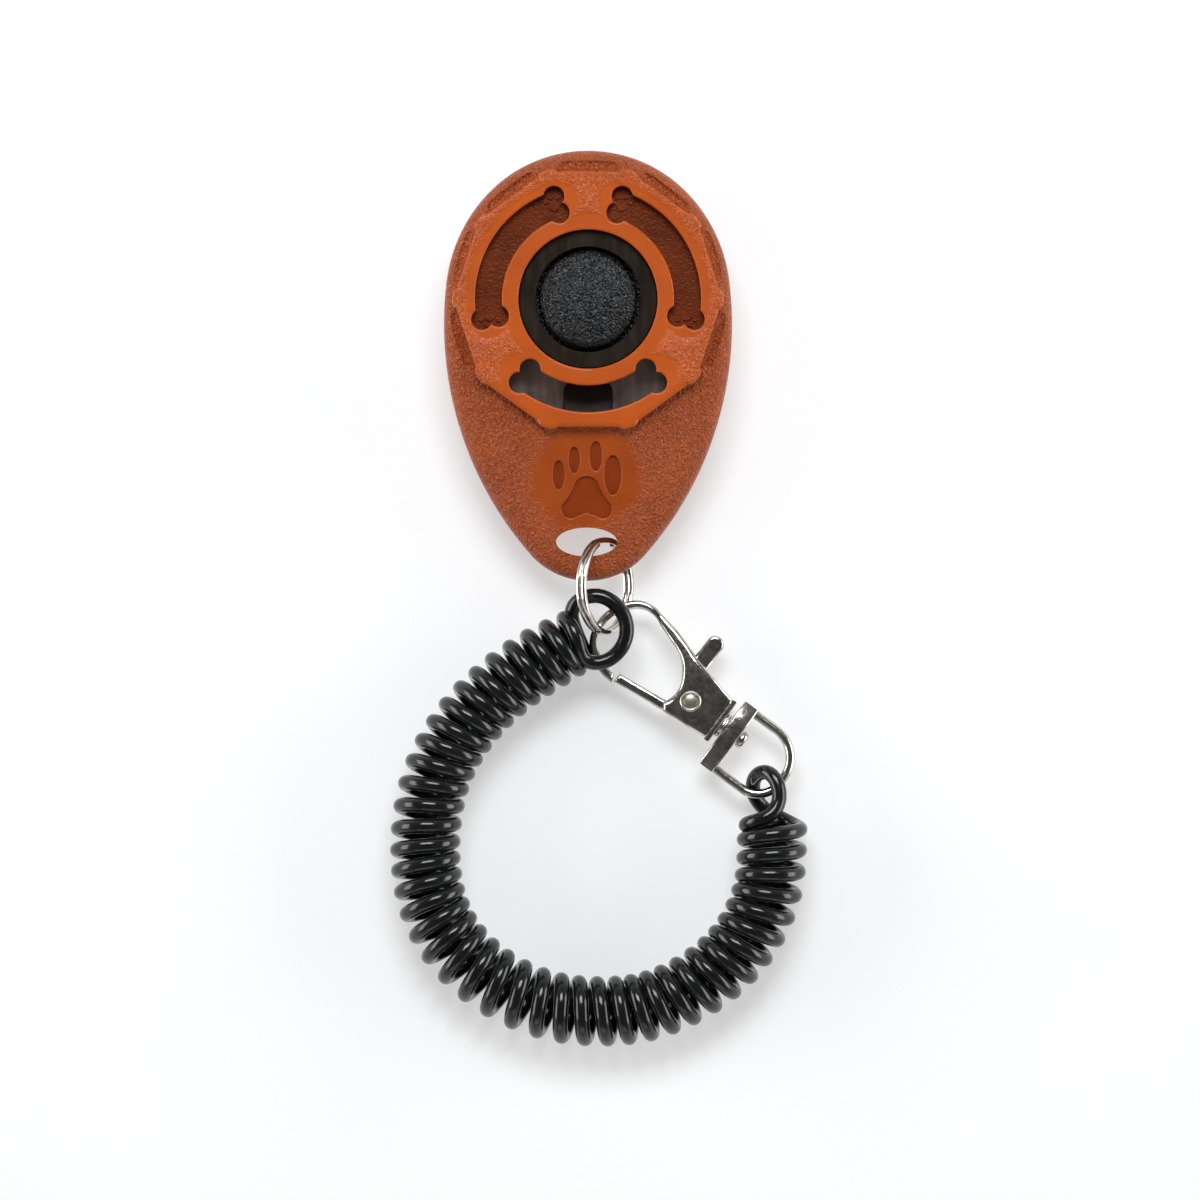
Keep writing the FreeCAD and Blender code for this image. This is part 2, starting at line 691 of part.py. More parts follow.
def hook_outline():
    """Flat outline of the body and its bow, from the barrel along the lower edge and back."""

    def at(x, y):
        return V(x, y, 0)

    return [
        line(at(0, -3.5), at(-8.4, -4.2)),
        line(at(-8.4, -4.2), at(-9.2, -3.0)),
        arc(at(-9.2, -3.0), at(-8.45, -0.5), at(-9.3, 1.9)),
        arc(at(-9.3, 1.9), at(-10.9, 3.8), at(-13.3, 4.95)),
        line(at(-13.3, 4.95), at(-16.6, 6.1)),
        arc(at(-16.6, 6.1), at(-19.3, 6.7), at(-21.35, 5.65)),
        arc(at(-21.35, 5.65), at(-23.05, 3.2), at(-23.45, 0.5)),
        arc(at(-23.45, 0.5), at(-22.8, -1.6), at(-20.9, -3.1)),
        arc(at(-20.9, -3.1), at(-19.5, -3.75), at(-17.8, -4.0)),
        line(at(-17.8, -4.0), at(-17.25, -5.4)),
        arc(at(-17.25, -5.4), at(-19.7, -5.2), at(-21.8, -4.2)),
        arc(at(-21.8, -4.2), at(-24.0, -2.1), at(-24.75, 0.5)),
        arc(at(-24.75, 0.5), at(-24.3, 3.7), at(-22.55, 6.35)),
        arc(at(-22.55, 6.35), at(-20.4, 7.75), at(-17.7, 7.7)),
        arc(at(-17.7, 7.7), at(-13.8, 7.05), at(-9.4, 5.6)),
        line(at(-9.4, 5.6), at(0, 3.4)),
        line(at(0, 3.4), at(0, -3.5)),
    ]


def hook_side_profile():
    """The body's thickness along its length: full at the barrel, thin at the bow."""
    body, bow = BODY_HALF_THICKNESS, BOW_HALF_THICKNESS
    corners = [
        V(1, -10, -body), V(-10, -10, -body), V(-15, -10, -bow), V(-26, -10, -bow),
        V(-26, -10, bow), V(-15, -10, bow), V(-10, -10, body), V(1, -10, body),
    ]
    edges = [line(a, b) for a, b in zip(corners, corners[1:] + corners[:1])]
    return Part.Face(Part.Wire(edges)).extrude(V(0, 22, 0))


def hook_body():
    body = prism(hook_outline(), -BODY_HALF_THICKNESS, BODY_HALF_THICKNESS)
    body = body.common(hook_side_profile())
    collar = block(V(-0.9, -3.8, -2.6), V(0, 3.7, 2.6))
    collar = round_edges(collar, 0.4, lambda e: True)
    body = body.fuse(collar)
    slot = block(V(SLOT_X[0], -8, -SLOT_HALF), V(SLOT_X[1], 9, SLOT_HALF))
    pivot = post(PIVOT.x, PIVOT.y, PIVOT_RADIUS, -5, 5)
    barrel = along_x(STUD_RADIUS, SLOT_X[1] - 1, 1, STUD_Y)
    return in_place(body.cut([slot, pivot, barrel]).removeSplitter())


def lever_pin():
    """Rivet with a flat disc head on each side."""
    top = BODY_HALF_THICKNESS
    pin = post(PIVOT.x, PIVOT.y, PIVOT_RADIUS, -top, top)
    for side in (-1, 1):
        for radius, height in ((1.65, 0.25), (1.0, 0.45)):
            low, high = sorted((side * top, side * (top + height)))
            pin = pin.fuse(post(PIVOT.x, PIVOT.y, radius, low, high))
    return in_place(pin.removeSplitter())


def hook_lever():
    """Gate, hub and thumb tab in one pressed piece, with a pocket for its spring."""

    def at(x, y):
        return V(x, y, 0)

    edges = [
        line(at(-17.15, -5.1), at(-8.8, -4.2)),
        line(at(-8.8, -4.2), at(-6.2, -2.7)),
        arc(at(-6.2, -2.7), at(-3.7, -1.2), at(-4.3, 1.4)),
        line(at(-4.3, 1.4), at(-6.7, 5.0)),
        line(at(-6.7, 5.0), at(-6.7, 8.8)),
        arc(at(-6.7, 8.8), at(-8.1, 10.2), at(-9.5, 8.8)),
        line(at(-9.5, 8.8), at(-9.5, 5.2)),
        line(at(-9.5, 5.2), at(-8.0, 0.8)),
        arc(at(-8.0, 0.8), at(-7.9, -1.3), at(-9.3, -2.6)),
        line(at(-9.3, -2.6), at(-17.15, -3.5)),
        line(at(-17.15, -3.5), at(-17.15, -5.1)),
    ]
    lever = prism(edges, -LEVER_HALF_THICKNESS, LEVER_HALF_THICKNESS)
    pocket = post(PIVOT.x, PIVOT.y, 1.85, -0.6, 0.6)
    gate_channel = block(V(-9.4, -2.9, -0.6), V(PIVOT.x, -1.5, 0.6))
    wall_channel = block(V(PIVOT.x, 0.5, -0.6), V(-3, 1.6, 0.6))
    bore = post(PIVOT.x, PIVOT.y, PIVOT_RADIUS + PIVOT_CLEARANCE, -5, 5)
    return in_place(lever.cut([pocket, gate_channel, wall_channel, bore]).removeSplitter())


def lever_spring():
    """Two-turn torsion spring round the rivet, with one leg each way."""
    wire, radius = SPRING_WIRE, SPRING_RADIUS
    turns = [Part.makeTorus(radius, wire, PIVOT + V(0, 0, side * wire * 0.95)) for side in (-1, 1)]
    gate_start = PIVOT + V(0, -radius, -wire * 0.95)
    gate_leg = Part.makeCylinder(wire, 2.9, gate_start, V(-1, -0.2, 0))
    wall_start = PIVOT + V(0, radius, wire * 0.95)
    wall_leg = Part.makeCylinder(wire, 2.7, wall_start, V(1, 0.05, 0))
    return in_place(turns[0].fuse([turns[1], gate_leg, wall_leg]))


def swivel_pin():
    """Stud pressed into the barrel, with a shoulder and a peened head outside the D ring's bar."""
    bar_low, bar_high = EYE_BAR_X
    stud = along_x(STUD_RADIUS, SLOT_X[1] + 0.05, bar_high + 0.15, STUD_Y)
    shoulder = along_x(2.1, 0, bar_low - 0.1, STUD_Y)
    head = along_x(1.4, bar_high + 0.1, bar_high + 1.3, STUD_Y)
    head = round_edges(head, 0.45, lambda e: e.BoundBox.XMin > bar_high + 1.2)
    return in_place(stud.fuse([shoulder, head]).removeSplitter())


def swivel_eye():
    """D ring: a flat bar with the stud's bore and a round wire from end to end."""
    bar_low, bar_high = EYE_BAR_X
    wire_x = (bar_low + bar_high) / 2
    half, centre = EYE_HALF_WIDTH, EYE_CENTRE_Y
    top, bottom = centre + half, centre - half
    high, low = EYE_TOP_CORNER, EYE_LOW_CORNER
    top_turn, low_turn = EYE_END_X - high, EYE_END_X - low
    slant = math.sin(math.pi / 4)
    edges = [
        line(V(wire_x, top, 0), V(top_turn, top, 0)),
        arc(
            V(top_turn, top, 0),
            V(top_turn + high * slant, top - high * (1 - slant), 0),
            V(EYE_END_X, top - high, 0),
        ),
        line(V(EYE_END_X, top - high, 0), V(EYE_END_X, bottom + low, 0)),
        arc(
            V(EYE_END_X, bottom + low, 0),
            V(low_turn + low * slant, bottom + low * (1 - slant), 0),
            V(low_turn, bottom, 0),
        ),
        line(V(low_turn, bottom, 0), V(wire_x, bottom, 0)),
    ]
    loop = pipe(Part.Wire(edges), EYE_WIRE, V(wire_x, top, 0), V(1, 0, 0))
    outer = half + EYE_WIRE
    bar = block(V(bar_low, centre - outer, -1.9), V(bar_high, centre + outer, 1.9))
    bar = round_edges(bar, 0.4, lambda e: True)
    bore = along_x(STUD_RADIUS + STUD_CLEARANCE, bar_low - 1, bar_high + 1, STUD_Y)
    return in_place(bar.fuse(loop).cut(bore).removeSplitter())


NODES = {
    "front_cover": front_cover,
    "back_cover": back_cover,
    "button": button,
    "button_guide": button_guide,
    "click_plate": click_plate,
    "plate_clamp": plate_clamp,
    "plate_screw": plate_screw,
    "split_ring": split_ring,
    "cord_coil": cord_coil,
    "cord_eye_ring_end": cord_eye_ring_end,
    "cord_eye_hook_end": cord_eye_hook_end,
    "hook_body": hook_body,
    "hook_lever": hook_lever,
    "lever_pin": lever_pin,
    "lever_spring": lever_spring,
    "swivel_pin": swivel_pin,
    "swivel_eye": swivel_eye,
}

os.makedirs("parts", exist_ok=True)
for name in case_screw_places():
    NODES[name] = lambda name=name: case_screw(name)
for name, make in NODES.items():
    shape = make()
    solids = len(shape.Solids)
    print(f"{name}: solids {solids}, valid {shape.isValid()}, volume {shape.Volume:.1f}")
    shape.exportStep(f"parts/{name}.step")
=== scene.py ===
import bpy
import bmesh
import math
import random
from mathutils import Matrix, Vector


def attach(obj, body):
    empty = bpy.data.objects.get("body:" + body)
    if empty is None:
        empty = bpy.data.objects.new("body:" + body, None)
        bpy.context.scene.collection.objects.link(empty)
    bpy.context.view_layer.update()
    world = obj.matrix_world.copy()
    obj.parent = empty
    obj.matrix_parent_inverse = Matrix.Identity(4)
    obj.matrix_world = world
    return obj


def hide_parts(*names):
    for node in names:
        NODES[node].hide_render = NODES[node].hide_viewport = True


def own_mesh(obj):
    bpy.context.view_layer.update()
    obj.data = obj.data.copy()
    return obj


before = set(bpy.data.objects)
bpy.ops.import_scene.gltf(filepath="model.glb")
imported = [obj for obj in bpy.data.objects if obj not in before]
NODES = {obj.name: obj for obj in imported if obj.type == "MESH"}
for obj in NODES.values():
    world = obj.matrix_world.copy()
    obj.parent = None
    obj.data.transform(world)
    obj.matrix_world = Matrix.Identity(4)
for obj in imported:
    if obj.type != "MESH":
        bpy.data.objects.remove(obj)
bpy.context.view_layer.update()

MM = 0.001
UP = Vector((0, 0, 1))


def mm(x, y, z):
    """A point given in millimetres."""
    return Vector((x, y, z)) * MM


# ---- camera ----

VIEW_CENTRE = (1.84, -46.05, 7.0)
VIEW_WIDTH = 184.2
CAMERA_HEIGHT = 2200.0
SENSOR = 36.0


def make_camera():
    data = bpy.data.cameras.new("camera")
    data.sensor_width = SENSOR
    data.lens = SENSOR * CAMERA_HEIGHT / VIEW_WIDTH
    data.clip_start = 0.01
    data.clip_end = 20.0
    camera = bpy.data.objects.new("camera", data)
    camera.location = mm(VIEW_CENTRE[0], VIEW_CENTRE[1], VIEW_CENTRE[2] + CAMERA_HEIGHT)
    bpy.context.scene.collection.objects.link(camera)
    bpy.context.scene.camera = camera


# ---- coil strap ----

CORD_DIAMETER = 2.3
COIL_Z = 5.45
HELIX_RADIUS = 4.3
# The first two turns are a little smaller, and the last one stops short of the route's end.
HELIX_START_LOSS = 0.35
HELIX_START_TURNS = 2
HELIX_END_GAP = 1.3
TURNS = 41.17
POINTS_PER_TURN = 16
START_ANGLE = 125.0
# Each turn's spacing is uneven by up to this share.
PITCH_WOBBLE = 0.05
WOBBLE_SEED = 7
ROUTE_RESOLUTION = 24
CORD_RESOLUTION = 3
COIL_ROUTE = (
    (-1.5, -52.2), (-6.1, -54.5), (-12.7, -58.8), (-18.9, -64.8), (-23.2, -72.1), (-25.0, -80.1),
    (-25.0, -88.3), (-23.2, -95.2), (-18.9, -101.3), (-12.7, -105.9), (-5.5, -108.7), (1.8, -109.4),
    (9.5, -108.7), (17.2, -105.1), (23.3, -99.8), (27.2, -92.9), (28.4, -86.0), (28.2, -80.1),
)
# Spacing of the turns along the strap, relative to the mean: a share of the way, and a factor.
PITCH_STEPS = (
    (0.0, 0.99), (0.22, 0.98), (0.27, 1.07), (0.34, 0.96), (0.42, 0.93), (0.5, 1.14), (0.57, 1.21),
    (0.63, 1.04), (0.71, 0.93), (0.78, 1.07), (0.85, 0.99), (0.93, 1.0), (1.0, 1.0),
)
RING_EYE = (
    (-0.2, -54.6, 3.1), (-1.1, -52.8, 3.5), (-2.0, -50.6, 4.3), (-2.7, -48.3, 5.6), (-2.0, -46.5, 6.6),
    (-0.4, -45.5, 7.1), (1.9, -45.3, 7.2), (4.2, -46.5, 7.2), (5.7, -48.6, 7.1), (6.1, -51.0, 7.0),
    (5.3, -53.4, 7.0), (3.5, -55.2, 7.0), (1.2, -55.9, 7.1), (-0.9, -55.1, 7.5), (-1.6, -52.3, 9.3),
)
HOOK_EYE = (
    (32.6, -81.35, 6.2), (32.55, -81.1, 4.4), (31.8, -80.7, 2.7), (30.4, -80.0, 1.6),
    (28.6, -79.1, 1.35), (26.8, -78.0, 1.4), (25.4, -76.0, 2.1),
    (25.3, -73.9, 3.4), (26.2, -72.6, 5.0), (27.6, -72.4, 6.6), (28.8, -73.5, 7.5), (29.4, -75.3, 7.8),
    (29.3, -77.2, 8.0), (28.4, -78.8, 8.4), (26.8, -79.7, 8.6), (25.2, -80.1, 7.8), (24.2, -80.5, 6.4),
    (24.3, -80.8, 4.9), (25.4, -80.9, 3.9), (27.2, -80.9, 3.8), (29.4, -80.9, 4.4),
)


def nurbs(name, points, resolution, bevel=0.0):
    """Curve object of one open quadratic spline with those control points, in millimetres."""
    data = bpy.data.curves.new(name, "CURVE")
    data.dimensions = "3D"
    spline = data.splines.new("NURBS")
    spline.points.add(len(points) - 1)
    for target, point in zip(spline.points, points):
        target.co = (point[0] * MM, point[1] * MM, point[2] * MM, 1.0)
    spline.order_u = 3
    spline.use_endpoint_u = True
    spline.resolution_u = resolution
    data.bevel_depth = bevel * MM
    data.bevel_resolution = 6
    data.use_fill_caps = bevel > 0
    curve = bpy.data.objects.new(name, data)
    bpy.context.scene.collection.objects.link(curve)
    return curve


def line_of(points):
    """Points along the smooth line of a route, with the distance to each, in millimetres."""
    route = nurbs("route", points, ROUTE_RESOLUTION)
    bpy.context.view_layer.update()
    mesh = bpy.data.meshes.new_from_object(route)
    line = [vertex.co / MM for vertex in mesh.vertices]
    bpy.data.meshes.remove(mesh)
    bpy.data.objects.remove(route)
    along = [0.0]
    for before, after in zip(line, line[1:]):
        along.append(along[-1] + (after - before).length)
    return line, along


def at_distance(line, along, distance):
    """Point and direction of a line at a distance along it."""
    k = 1
    while k < len(along) - 1 and along[k] < distance:
        k += 1
    span = along[k] - along[k - 1]
    share = (distance - along[k - 1]) / span
    point = line[k - 1].lerp(line[k], share)
    before = line[max(k - 2, 0)]
    after = line[min(k + 1, len(line) - 1)]
    return point, (after - before).normalized()


def pitch_factor(share):
    for (low, first), (high, last) in zip(PITCH_STEPS, PITCH_STEPS[1:]):
        if share <= high:
            return first + (last - first) * (share - low) / (high - low)
    return PITCH_STEPS[-1][1]


def helix_points():
    """Control points of the coil's turns round the route's smooth line."""
    line, along = line_of([(x, y, COIL_Z) for x, y in COIL_ROUTE])
    count = int(TURNS * POINTS_PER_TURN)
    rng = random.Random(WOBBLE_SEED)
    wobble = [rng.uniform(-1, 1) for _ in range(int(TURNS) + 3)]
    steps = []
    for k in range(count):
        turn = k / POINTS_PER_TURN
        near = wobble[int(turn)] * (1 - turn % 1) + wobble[int(turn) + 1] * (turn % 1)
        steps.append(pitch_factor(k / count) * (1 + PITCH_WOBBLE * near))
    scale = (along[-1] - HELIX_END_GAP) / sum(steps)
    stretch = 1 / (0.75 + 0.25 * math.cos(2 * math.pi / POINTS_PER_TURN))
    points = []
    distance = 0.0
    for k in range(count):
        centre, direction = at_distance(line, along, distance)
        inward = UP.cross(direction)
        angle = math.radians(START_ANGLE + 360.0 * k / POINTS_PER_TURN)
        offset = inward * math.cos(angle) + UP * math.sin(angle)
        loss = HELIX_START_LOSS * max(0, 1 - k / (HELIX_START_TURNS * POINTS_PER_TURN))
        radius = HELIX_RADIUS - loss
        points.append(tuple(centre + offset * radius * stretch))
        distance += steps[k] * scale
    return points


def make_cord(material):
    points = list(RING_EYE) + helix_points() + list(HOOK_EYE)
    cord = nurbs("coil_strap", points, CORD_RESOLUTION, bevel=CORD_DIAMETER / 2)
    cord.data.materials.append(material)
    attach(cord, "strap")
    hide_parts("cord_coil", "cord_eye_ring_end", "cord_eye_hook_end")
    return cord


# ---- mesh building ----

SMOOTH_ANGLE = 40.0
# An inset's corner is lengthened by 1 / cosine, with the cosine taken as at least this.
MITRE_LIMIT = 0.6
# Narrow flat strip inside a rounded edge, which keeps the face beyond it shading flat.
EDGE_STRIP = 0.07


def circle_centre(a, b, c):
    """Centre of the circle through three flat points."""
    d = 2 * (a.x * (b.y - c.y) + b.x * (c.y - a.y) + c.x * (a.y - b.y))
    aa, bb, cc = a.length_squared, b.length_squared, c.length_squared
    x = (aa * (b.y - c.y) + bb * (c.y - a.y) + cc * (a.y - b.y)) / d
    y = (aa * (c.x - b.x) + bb * (a.x - c.x) + cc * (b.x - a.x)) / d
    return Vector((x, y))


def arc_points(start, middle, end, step=0.3):
    """Flat points along an arc from start through middle, without its end."""
    a, b, c = Vector(start), Vector(middle), Vector(end)
    centre = circle_centre(a, b, c)
    spokes = [math.atan2(p.y - centre.y, p.x - centre.x) for p in (a, b, c)]
    turn = (spokes[2] - spokes[0]) % (2 * math.pi)
    if (spokes[1] - spokes[0]) % (2 * math.pi) > turn:
        turn -= 2 * math.pi
    radius = (a - centre).length
    count = max(3, round(abs(turn) * radius / step))
    angles = [spokes[0] + turn * k / count for k in range(count)]
    return [centre + Vector((math.cos(t), math.sin(t))) * radius for t in angles]


def outline(*pieces):
    """Closed flat outline, anticlockwise, from lines (two points) and arcs (three points)."""
    points = []
    for piece in pieces:
        points += [Vector(piece[0])] if len(piece) == 2 else arc_points(*piece)
    pairs = zip(points, points[1:] + points[:1])
    area = sum(a.x * b.y - a.y * b.x for a, b in pairs)
    return points if area > 0 else points[::-1]


def inset(points, distance, share=None):
    """Anticlockwise outline moved inwards, by a distance that share may lessen at each point."""
    moved = []
    for k, point in enumerate(points):
        into = (point - points[k - 1]).normalized()
        out = (points[(k + 1) % len(points)] - point).normalized()
        normal = Vector((-into.y - out.y, into.x + out.x)).normalized()
        stretch = 1 / max(normal.dot(Vector((-into.y, into.x))), MITRE_LIMIT)
        reach = distance * stretch * (share(point) if share else 1)
        moved.append(point + normal * reach)
    return moved


def rounded_plate(points, half, width, drop, steps=4, share=None):
    """Plate in a bmesh, 2 * half thick, with edges rounded over a width and a depth."""
    quarter = [math.pi / 2 * k / steps for k in range(steps + 1)]
    profile = [(width * (1 - math.cos(t)), half - drop + drop * math.sin(t)) for t in quarter]
    profile.append((width + EDGE_STRIP, half))
    levels = [(offset, -z) for offset, z in reversed(profile)] + profile
    bm = bmesh.new()
    rings = []
    for offset, z in levels:
        rings.append([bm.verts.new((p.x, p.y, z)) for p in inset(points, offset, share)])
    for low, high in zip(rings, rings[1:]):
        for k in range(len(points)):
            n = (k + 1) % len(points)
            bm.faces.new((low[k], low[n], high[n], high[k]))
    bm.faces.new(rings[0][::-1])
    bm.faces.new(rings[-1])
    return bm


def swept(frames, section):
    """Section carried along frames of (centre, side axis, up axis), with flat ends."""
    bm = bmesh.new()
    rings = []
    for centre, side, up in frames:
        rings.append([bm.verts.new(centre + side * u + up * v) for u, v in section])
    for first, second in zip(rings, rings[1:]):
        for k in range(len(section)):
            n = (k + 1) % len(section)
            bm.faces.new((first[k], first[n], second[n], second[k]))
    bm.faces.new(rings[0][::-1])
    bm.faces.new(rings[-1])
    return bm


def turned(profile, segments=64):
    """Solid turned about Z from (radius, height) points that start and end on the axis."""
    bm = bmesh.new()
    rings = []
    for radius, height in profile:
        if radius == 0:
            rings.append([bm.verts.new((0, 0, height))])
            continue
        turns = [2 * math.pi * k / segments for k in range(segments)]
        ring = [bm.verts.new((radius * math.cos(t), radius * math.sin(t), height)) for t in turns]
        rings.append(ring)
    for first, second in zip(rings, rings[1:]):
        for k in range(segments):
            n = (k + 1) % segments
            corners = [first[k % len(first)], first[n % len(first)]]
            corners += [second[n % len(second)], second[k % len(second)]]
            bm.faces.new(list(dict.fromkeys(corners)))
    return bm


def as_object(name, bm, place=Matrix(), smooth_angle=SMOOTH_ANGLE):
    """Object from a bmesh in millimetres, moved by a matrix in millimetres."""
    bmesh.ops.transform(bm, matrix=Matrix.Scale(MM, 4) @ place, verts=bm.verts)
    bmesh.ops.recalc_face_normals(bm, faces=bm.faces)
    mesh = bpy.data.meshes.new(name)
    bm.to_mesh(mesh)
    bm.free()
    mesh.shade_smooth()
    mesh.set_sharp_from_angle(angle=math.radians(smooth_angle))
    made = bpy.data.objects.new(name, mesh)
    bpy.context.scene.collection.objects.link(made)
    return made


def cut_away(target, tool):
    """Takes the tool object's volume out of the target's mesh."""
    modifier = target.modifiers.new("cut", "BOOLEAN")
    modifier.operation = "DIFFERENCE"
    modifier.solver = "EXACT"
    modifier.object = tool
    graph = bpy.context.evaluated_depsgraph_get()
    result = bpy.data.meshes.new_from_object(target.evaluated_get(graph))
    target.modifiers.clear()
    before = target.data
    target.data = result
    bpy.data.meshes.remove(before)
    bpy.data.objects.remove(tool)
    result.shade_smooth()
    result.set_sharp_from_angle(angle=math.radians(SMOOTH_ANGLE))


def join(name, *objects):
    """One object from several meshes."""
    bm = bmesh.new()
    for piece in objects:
        bm.from_mesh(piece.data)
        mesh = piece.data
        bpy.data.objects.remove(piece)
        bpy.data.meshes.remove(mesh)
    mesh = bpy.data.meshes.new(name)
    bm.to_mesh(mesh)
    bm.free()
    mesh.shade_smooth()
    mesh.set_sharp_from_angle(angle=math.radians(SMOOTH_ANGLE))
    made = bpy.data.objects.new(name, mesh)
    bpy.context.scene.collection.objects.link(made)
    return made


def stand_in(piece, node, body, material):
    """Gives a visual piece its looks and lets it stand for a CAD node."""
    piece.data.materials.clear()
    piece.data.materials.append(material)
    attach(piece, body)
    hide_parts(node)


# ---- split ring ----

SPLIT_CENTRE = Vector((2.6, -43.9, 7.1))
SPLIT_TILT = math.radians(59)
SPLIT_RADIUS = 7.05
SPLIT_START, SPLIT_CROSS, SPLIT_CROSSED, SPLIT_END = 114.0, 432.0, 468.0, 786.0
SPLIT_LEVEL = 0.43
SPLIT_SECTION = (0.43, 0.4, 0.27)
SPLIT_STEPS = 336


def rounded_section(half_u, half_v, radius, steps=4):
    section = []
    corners = ((1, 1, 0), (-1, 1, 90), (-1, -1, 180), (1, -1, 270))
    for side_u, side_v, start in corners:
        for k in range(steps + 1):
            t = math.radians(start + 90 * k / steps)
            u = side_u * (half_u - radius) + radius * math.cos(t)
            v = side_v * (half_v - radius) + radius * math.sin(t)
            section.append((u, v))
    return section


def make_split_ring(material):
    """Flat wire in two turns side by side, crossing over in a short step."""
    axis = Vector((math.sin(SPLIT_TILT), 0, math.cos(SPLIT_TILT)))
    across = Vector((math.cos(SPLIT_TILT), 0, -math.sin(SPLIT_TILT)))
    frames = []
    for k in range(SPLIT_STEPS + 1):
        degrees = SPLIT_START + (SPLIT_END - SPLIT_START) * k / SPLIT_STEPS
        share = (degrees - SPLIT_CROSS) / (SPLIT_CROSSED - SPLIT_CROSS)
        share = min(max(share, 0), 1)
        level = SPLIT_LEVEL * math.cos(math.pi * share)
        t = math.radians(degrees)
        out = across * math.cos(t) + Vector((0, 1, 0)) * math.sin(t)
        frames.append((SPLIT_CENTRE + out * SPLIT_RADIUS + axis * level, out, axis))
    ring = as_object("split_ring_wire", swept(frames, rounded_section(*SPLIT_SECTION)))
    stand_in(ring, "split_ring", "ring", material)


# ---- snap hook ----

HOOK_PLACE = Matrix((
    (0.8, 0.6, 0, 20.7),
    (-0.6, 0.8, 0, -64.8),
    (0, 0, 1, 4.4),
    (0, 0, 0, 1),
))
# Turns a plate drawn in x and y so that it lies across the hook's length.
FLAT_TO_X = Matrix(((0, 0, 1, 0), (1, 0, 0, 0), (0, 1, 0, 0), (0, 0, 0, 1)))
BODY_HALF, BOW_HALF, LEVER_HALF = 2.3, 1.0, 1.0
LEAST_HALF = 0.05
# Width and depth of the rounding along the edges of each plate.
BODY_EDGE = (0.72, 0.62)
LEVER_EDGE = (0.5, 0.6)
SMALL_EDGE = (0.3, 0.3)
# The body's edges narrow from full width to this share of it, between these two places.
EDGE_X = (-14.0, -22.0)
EDGE_LEAST = 0.65
TAPER_X = (-8.8, -17.6)
TAPER_STEPS = 8
COLLAR_X, COLLAR_HALF = -0.45, 0.45
COLLAR_LOW, COLLAR_HIGH = (-3.8, -2.6), (3.7, 2.6)
LEVER_SLOT = ((-11.2, -8.0, -1.15), (-2.0, 9.0, 1.15))
PIVOT_X, PIVOT_Y = -5.9, -0.4
STUD_Y = -0.4
HOOK_OUTLINE = (
    ((0, -3.5), (-8.4, -4.2)),
    ((-8.4, -4.2), (-9.2, -3.0)),
    ((-9.2, -3.0), (-8.45, -0.5), (-9.3, 1.9)),
    ((-9.3, 1.9), (-10.9, 3.8), (-13.3, 4.95)),
    ((-13.3, 4.95), (-16.6, 6.1)),
    ((-16.6, 6.1), (-19.3, 6.7), (-21.35, 5.65)),
    ((-21.35, 5.65), (-23.05, 3.2), (-23.45, 0.5)),
    ((-23.45, 0.5), (-22.8, -1.6), (-20.9, -3.1)),
    ((-20.9, -3.1), (-19.5, -3.75), (-17.8, -4.0)),
    ((-17.8, -4.0), (-17.25, -5.4)),
    ((-17.25, -5.4), (-19.7, -5.2), (-21.8, -4.2)),
    ((-21.8, -4.2), (-24.0, -2.1), (-24.75, 0.5)),
    ((-24.75, 0.5), (-24.3, 3.7), (-22.55, 6.35)),
    ((-22.55, 6.35), (-20.4, 7.75), (-17.7, 7.7)),
    ((-17.7, 7.7), (-13.8, 7.05), (-9.4, 5.6)),
    ((-9.4, 5.6), (0, 3.4)),
    ((0, 3.4), (0, -3.5)),
)
LEVER_OUTLINE = (
    ((-17.15, -5.1), (-8.8, -4.2)),
    ((-8.8, -4.2), (-6.2, -2.7)),
    ((-6.2, -2.7), (-3.7, -1.2), (-4.3, 1.4)),
    ((-4.3, 1.4), (-6.7, 5.0)),
    ((-6.7, 5.0), (-6.7, 8.8)),
    ((-6.7, 8.8), (-8.1, 10.2), (-9.5, 8.8)),
    ((-9.5, 8.8), (-9.5, 5.2)),
    ((-9.5, 5.2), (-8.0, 0.8)),
    ((-8.0, 0.8), (-7.9, -1.3), (-9.3, -2.6)),
    ((-9.3, -2.6), (-17.15, -3.5)),
    ((-17.15, -3.5), (-17.15, -5.1)),
)


def box_mesh(low, high):
    bm = bmesh.new()
    bmesh.ops.create_cube(bm, size=1.0)
    low, high = Vector(low), Vector(high)
    for vertex in bm.verts:
        vertex.co = Vector(low[k] + (vertex.co[k] + 0.5) * (high[k] - low[k]) for k in range(3))
    return bm


def rectangle(low, high):
    """Lines of a flat rectangle, for outline."""
    corners = [low, (high[0], low[1]), high, (low[0], high[1])]
    return list(zip(corners, corners[1:] + corners[:1]))


def divided(bm, places):
    """Cuts the faces across x at those places, so they can bend there."""
    along = Vector((1, 0, 0))
    for place in places:
        geometry = bm.verts[:] + bm.edges[:] + bm.faces[:]
        bmesh.ops.bisect_plane(bm, geom=geometry, plane_co=along * place, plane_no=along)


def body_half(x):
    """Half the body's thickness at x: thick at the barrel, thin at the bow, eased between."""
    share = min(max((TAPER_X[0] - x) / (TAPER_X[0] - TAPER_X[1]), 0), 1)
    return BODY_HALF + (BOW_HALF - BODY_HALF) * share


def edge_share(point):
    """How much of the full edge width fits: less on the narrow bow."""
    share = min(max((point.x - EDGE_X[1]) / (EDGE_X[0] - EDGE_X[1]), 0.0), 1.0)
    return EDGE_LEAST + (1 - EDGE_LEAST) * share


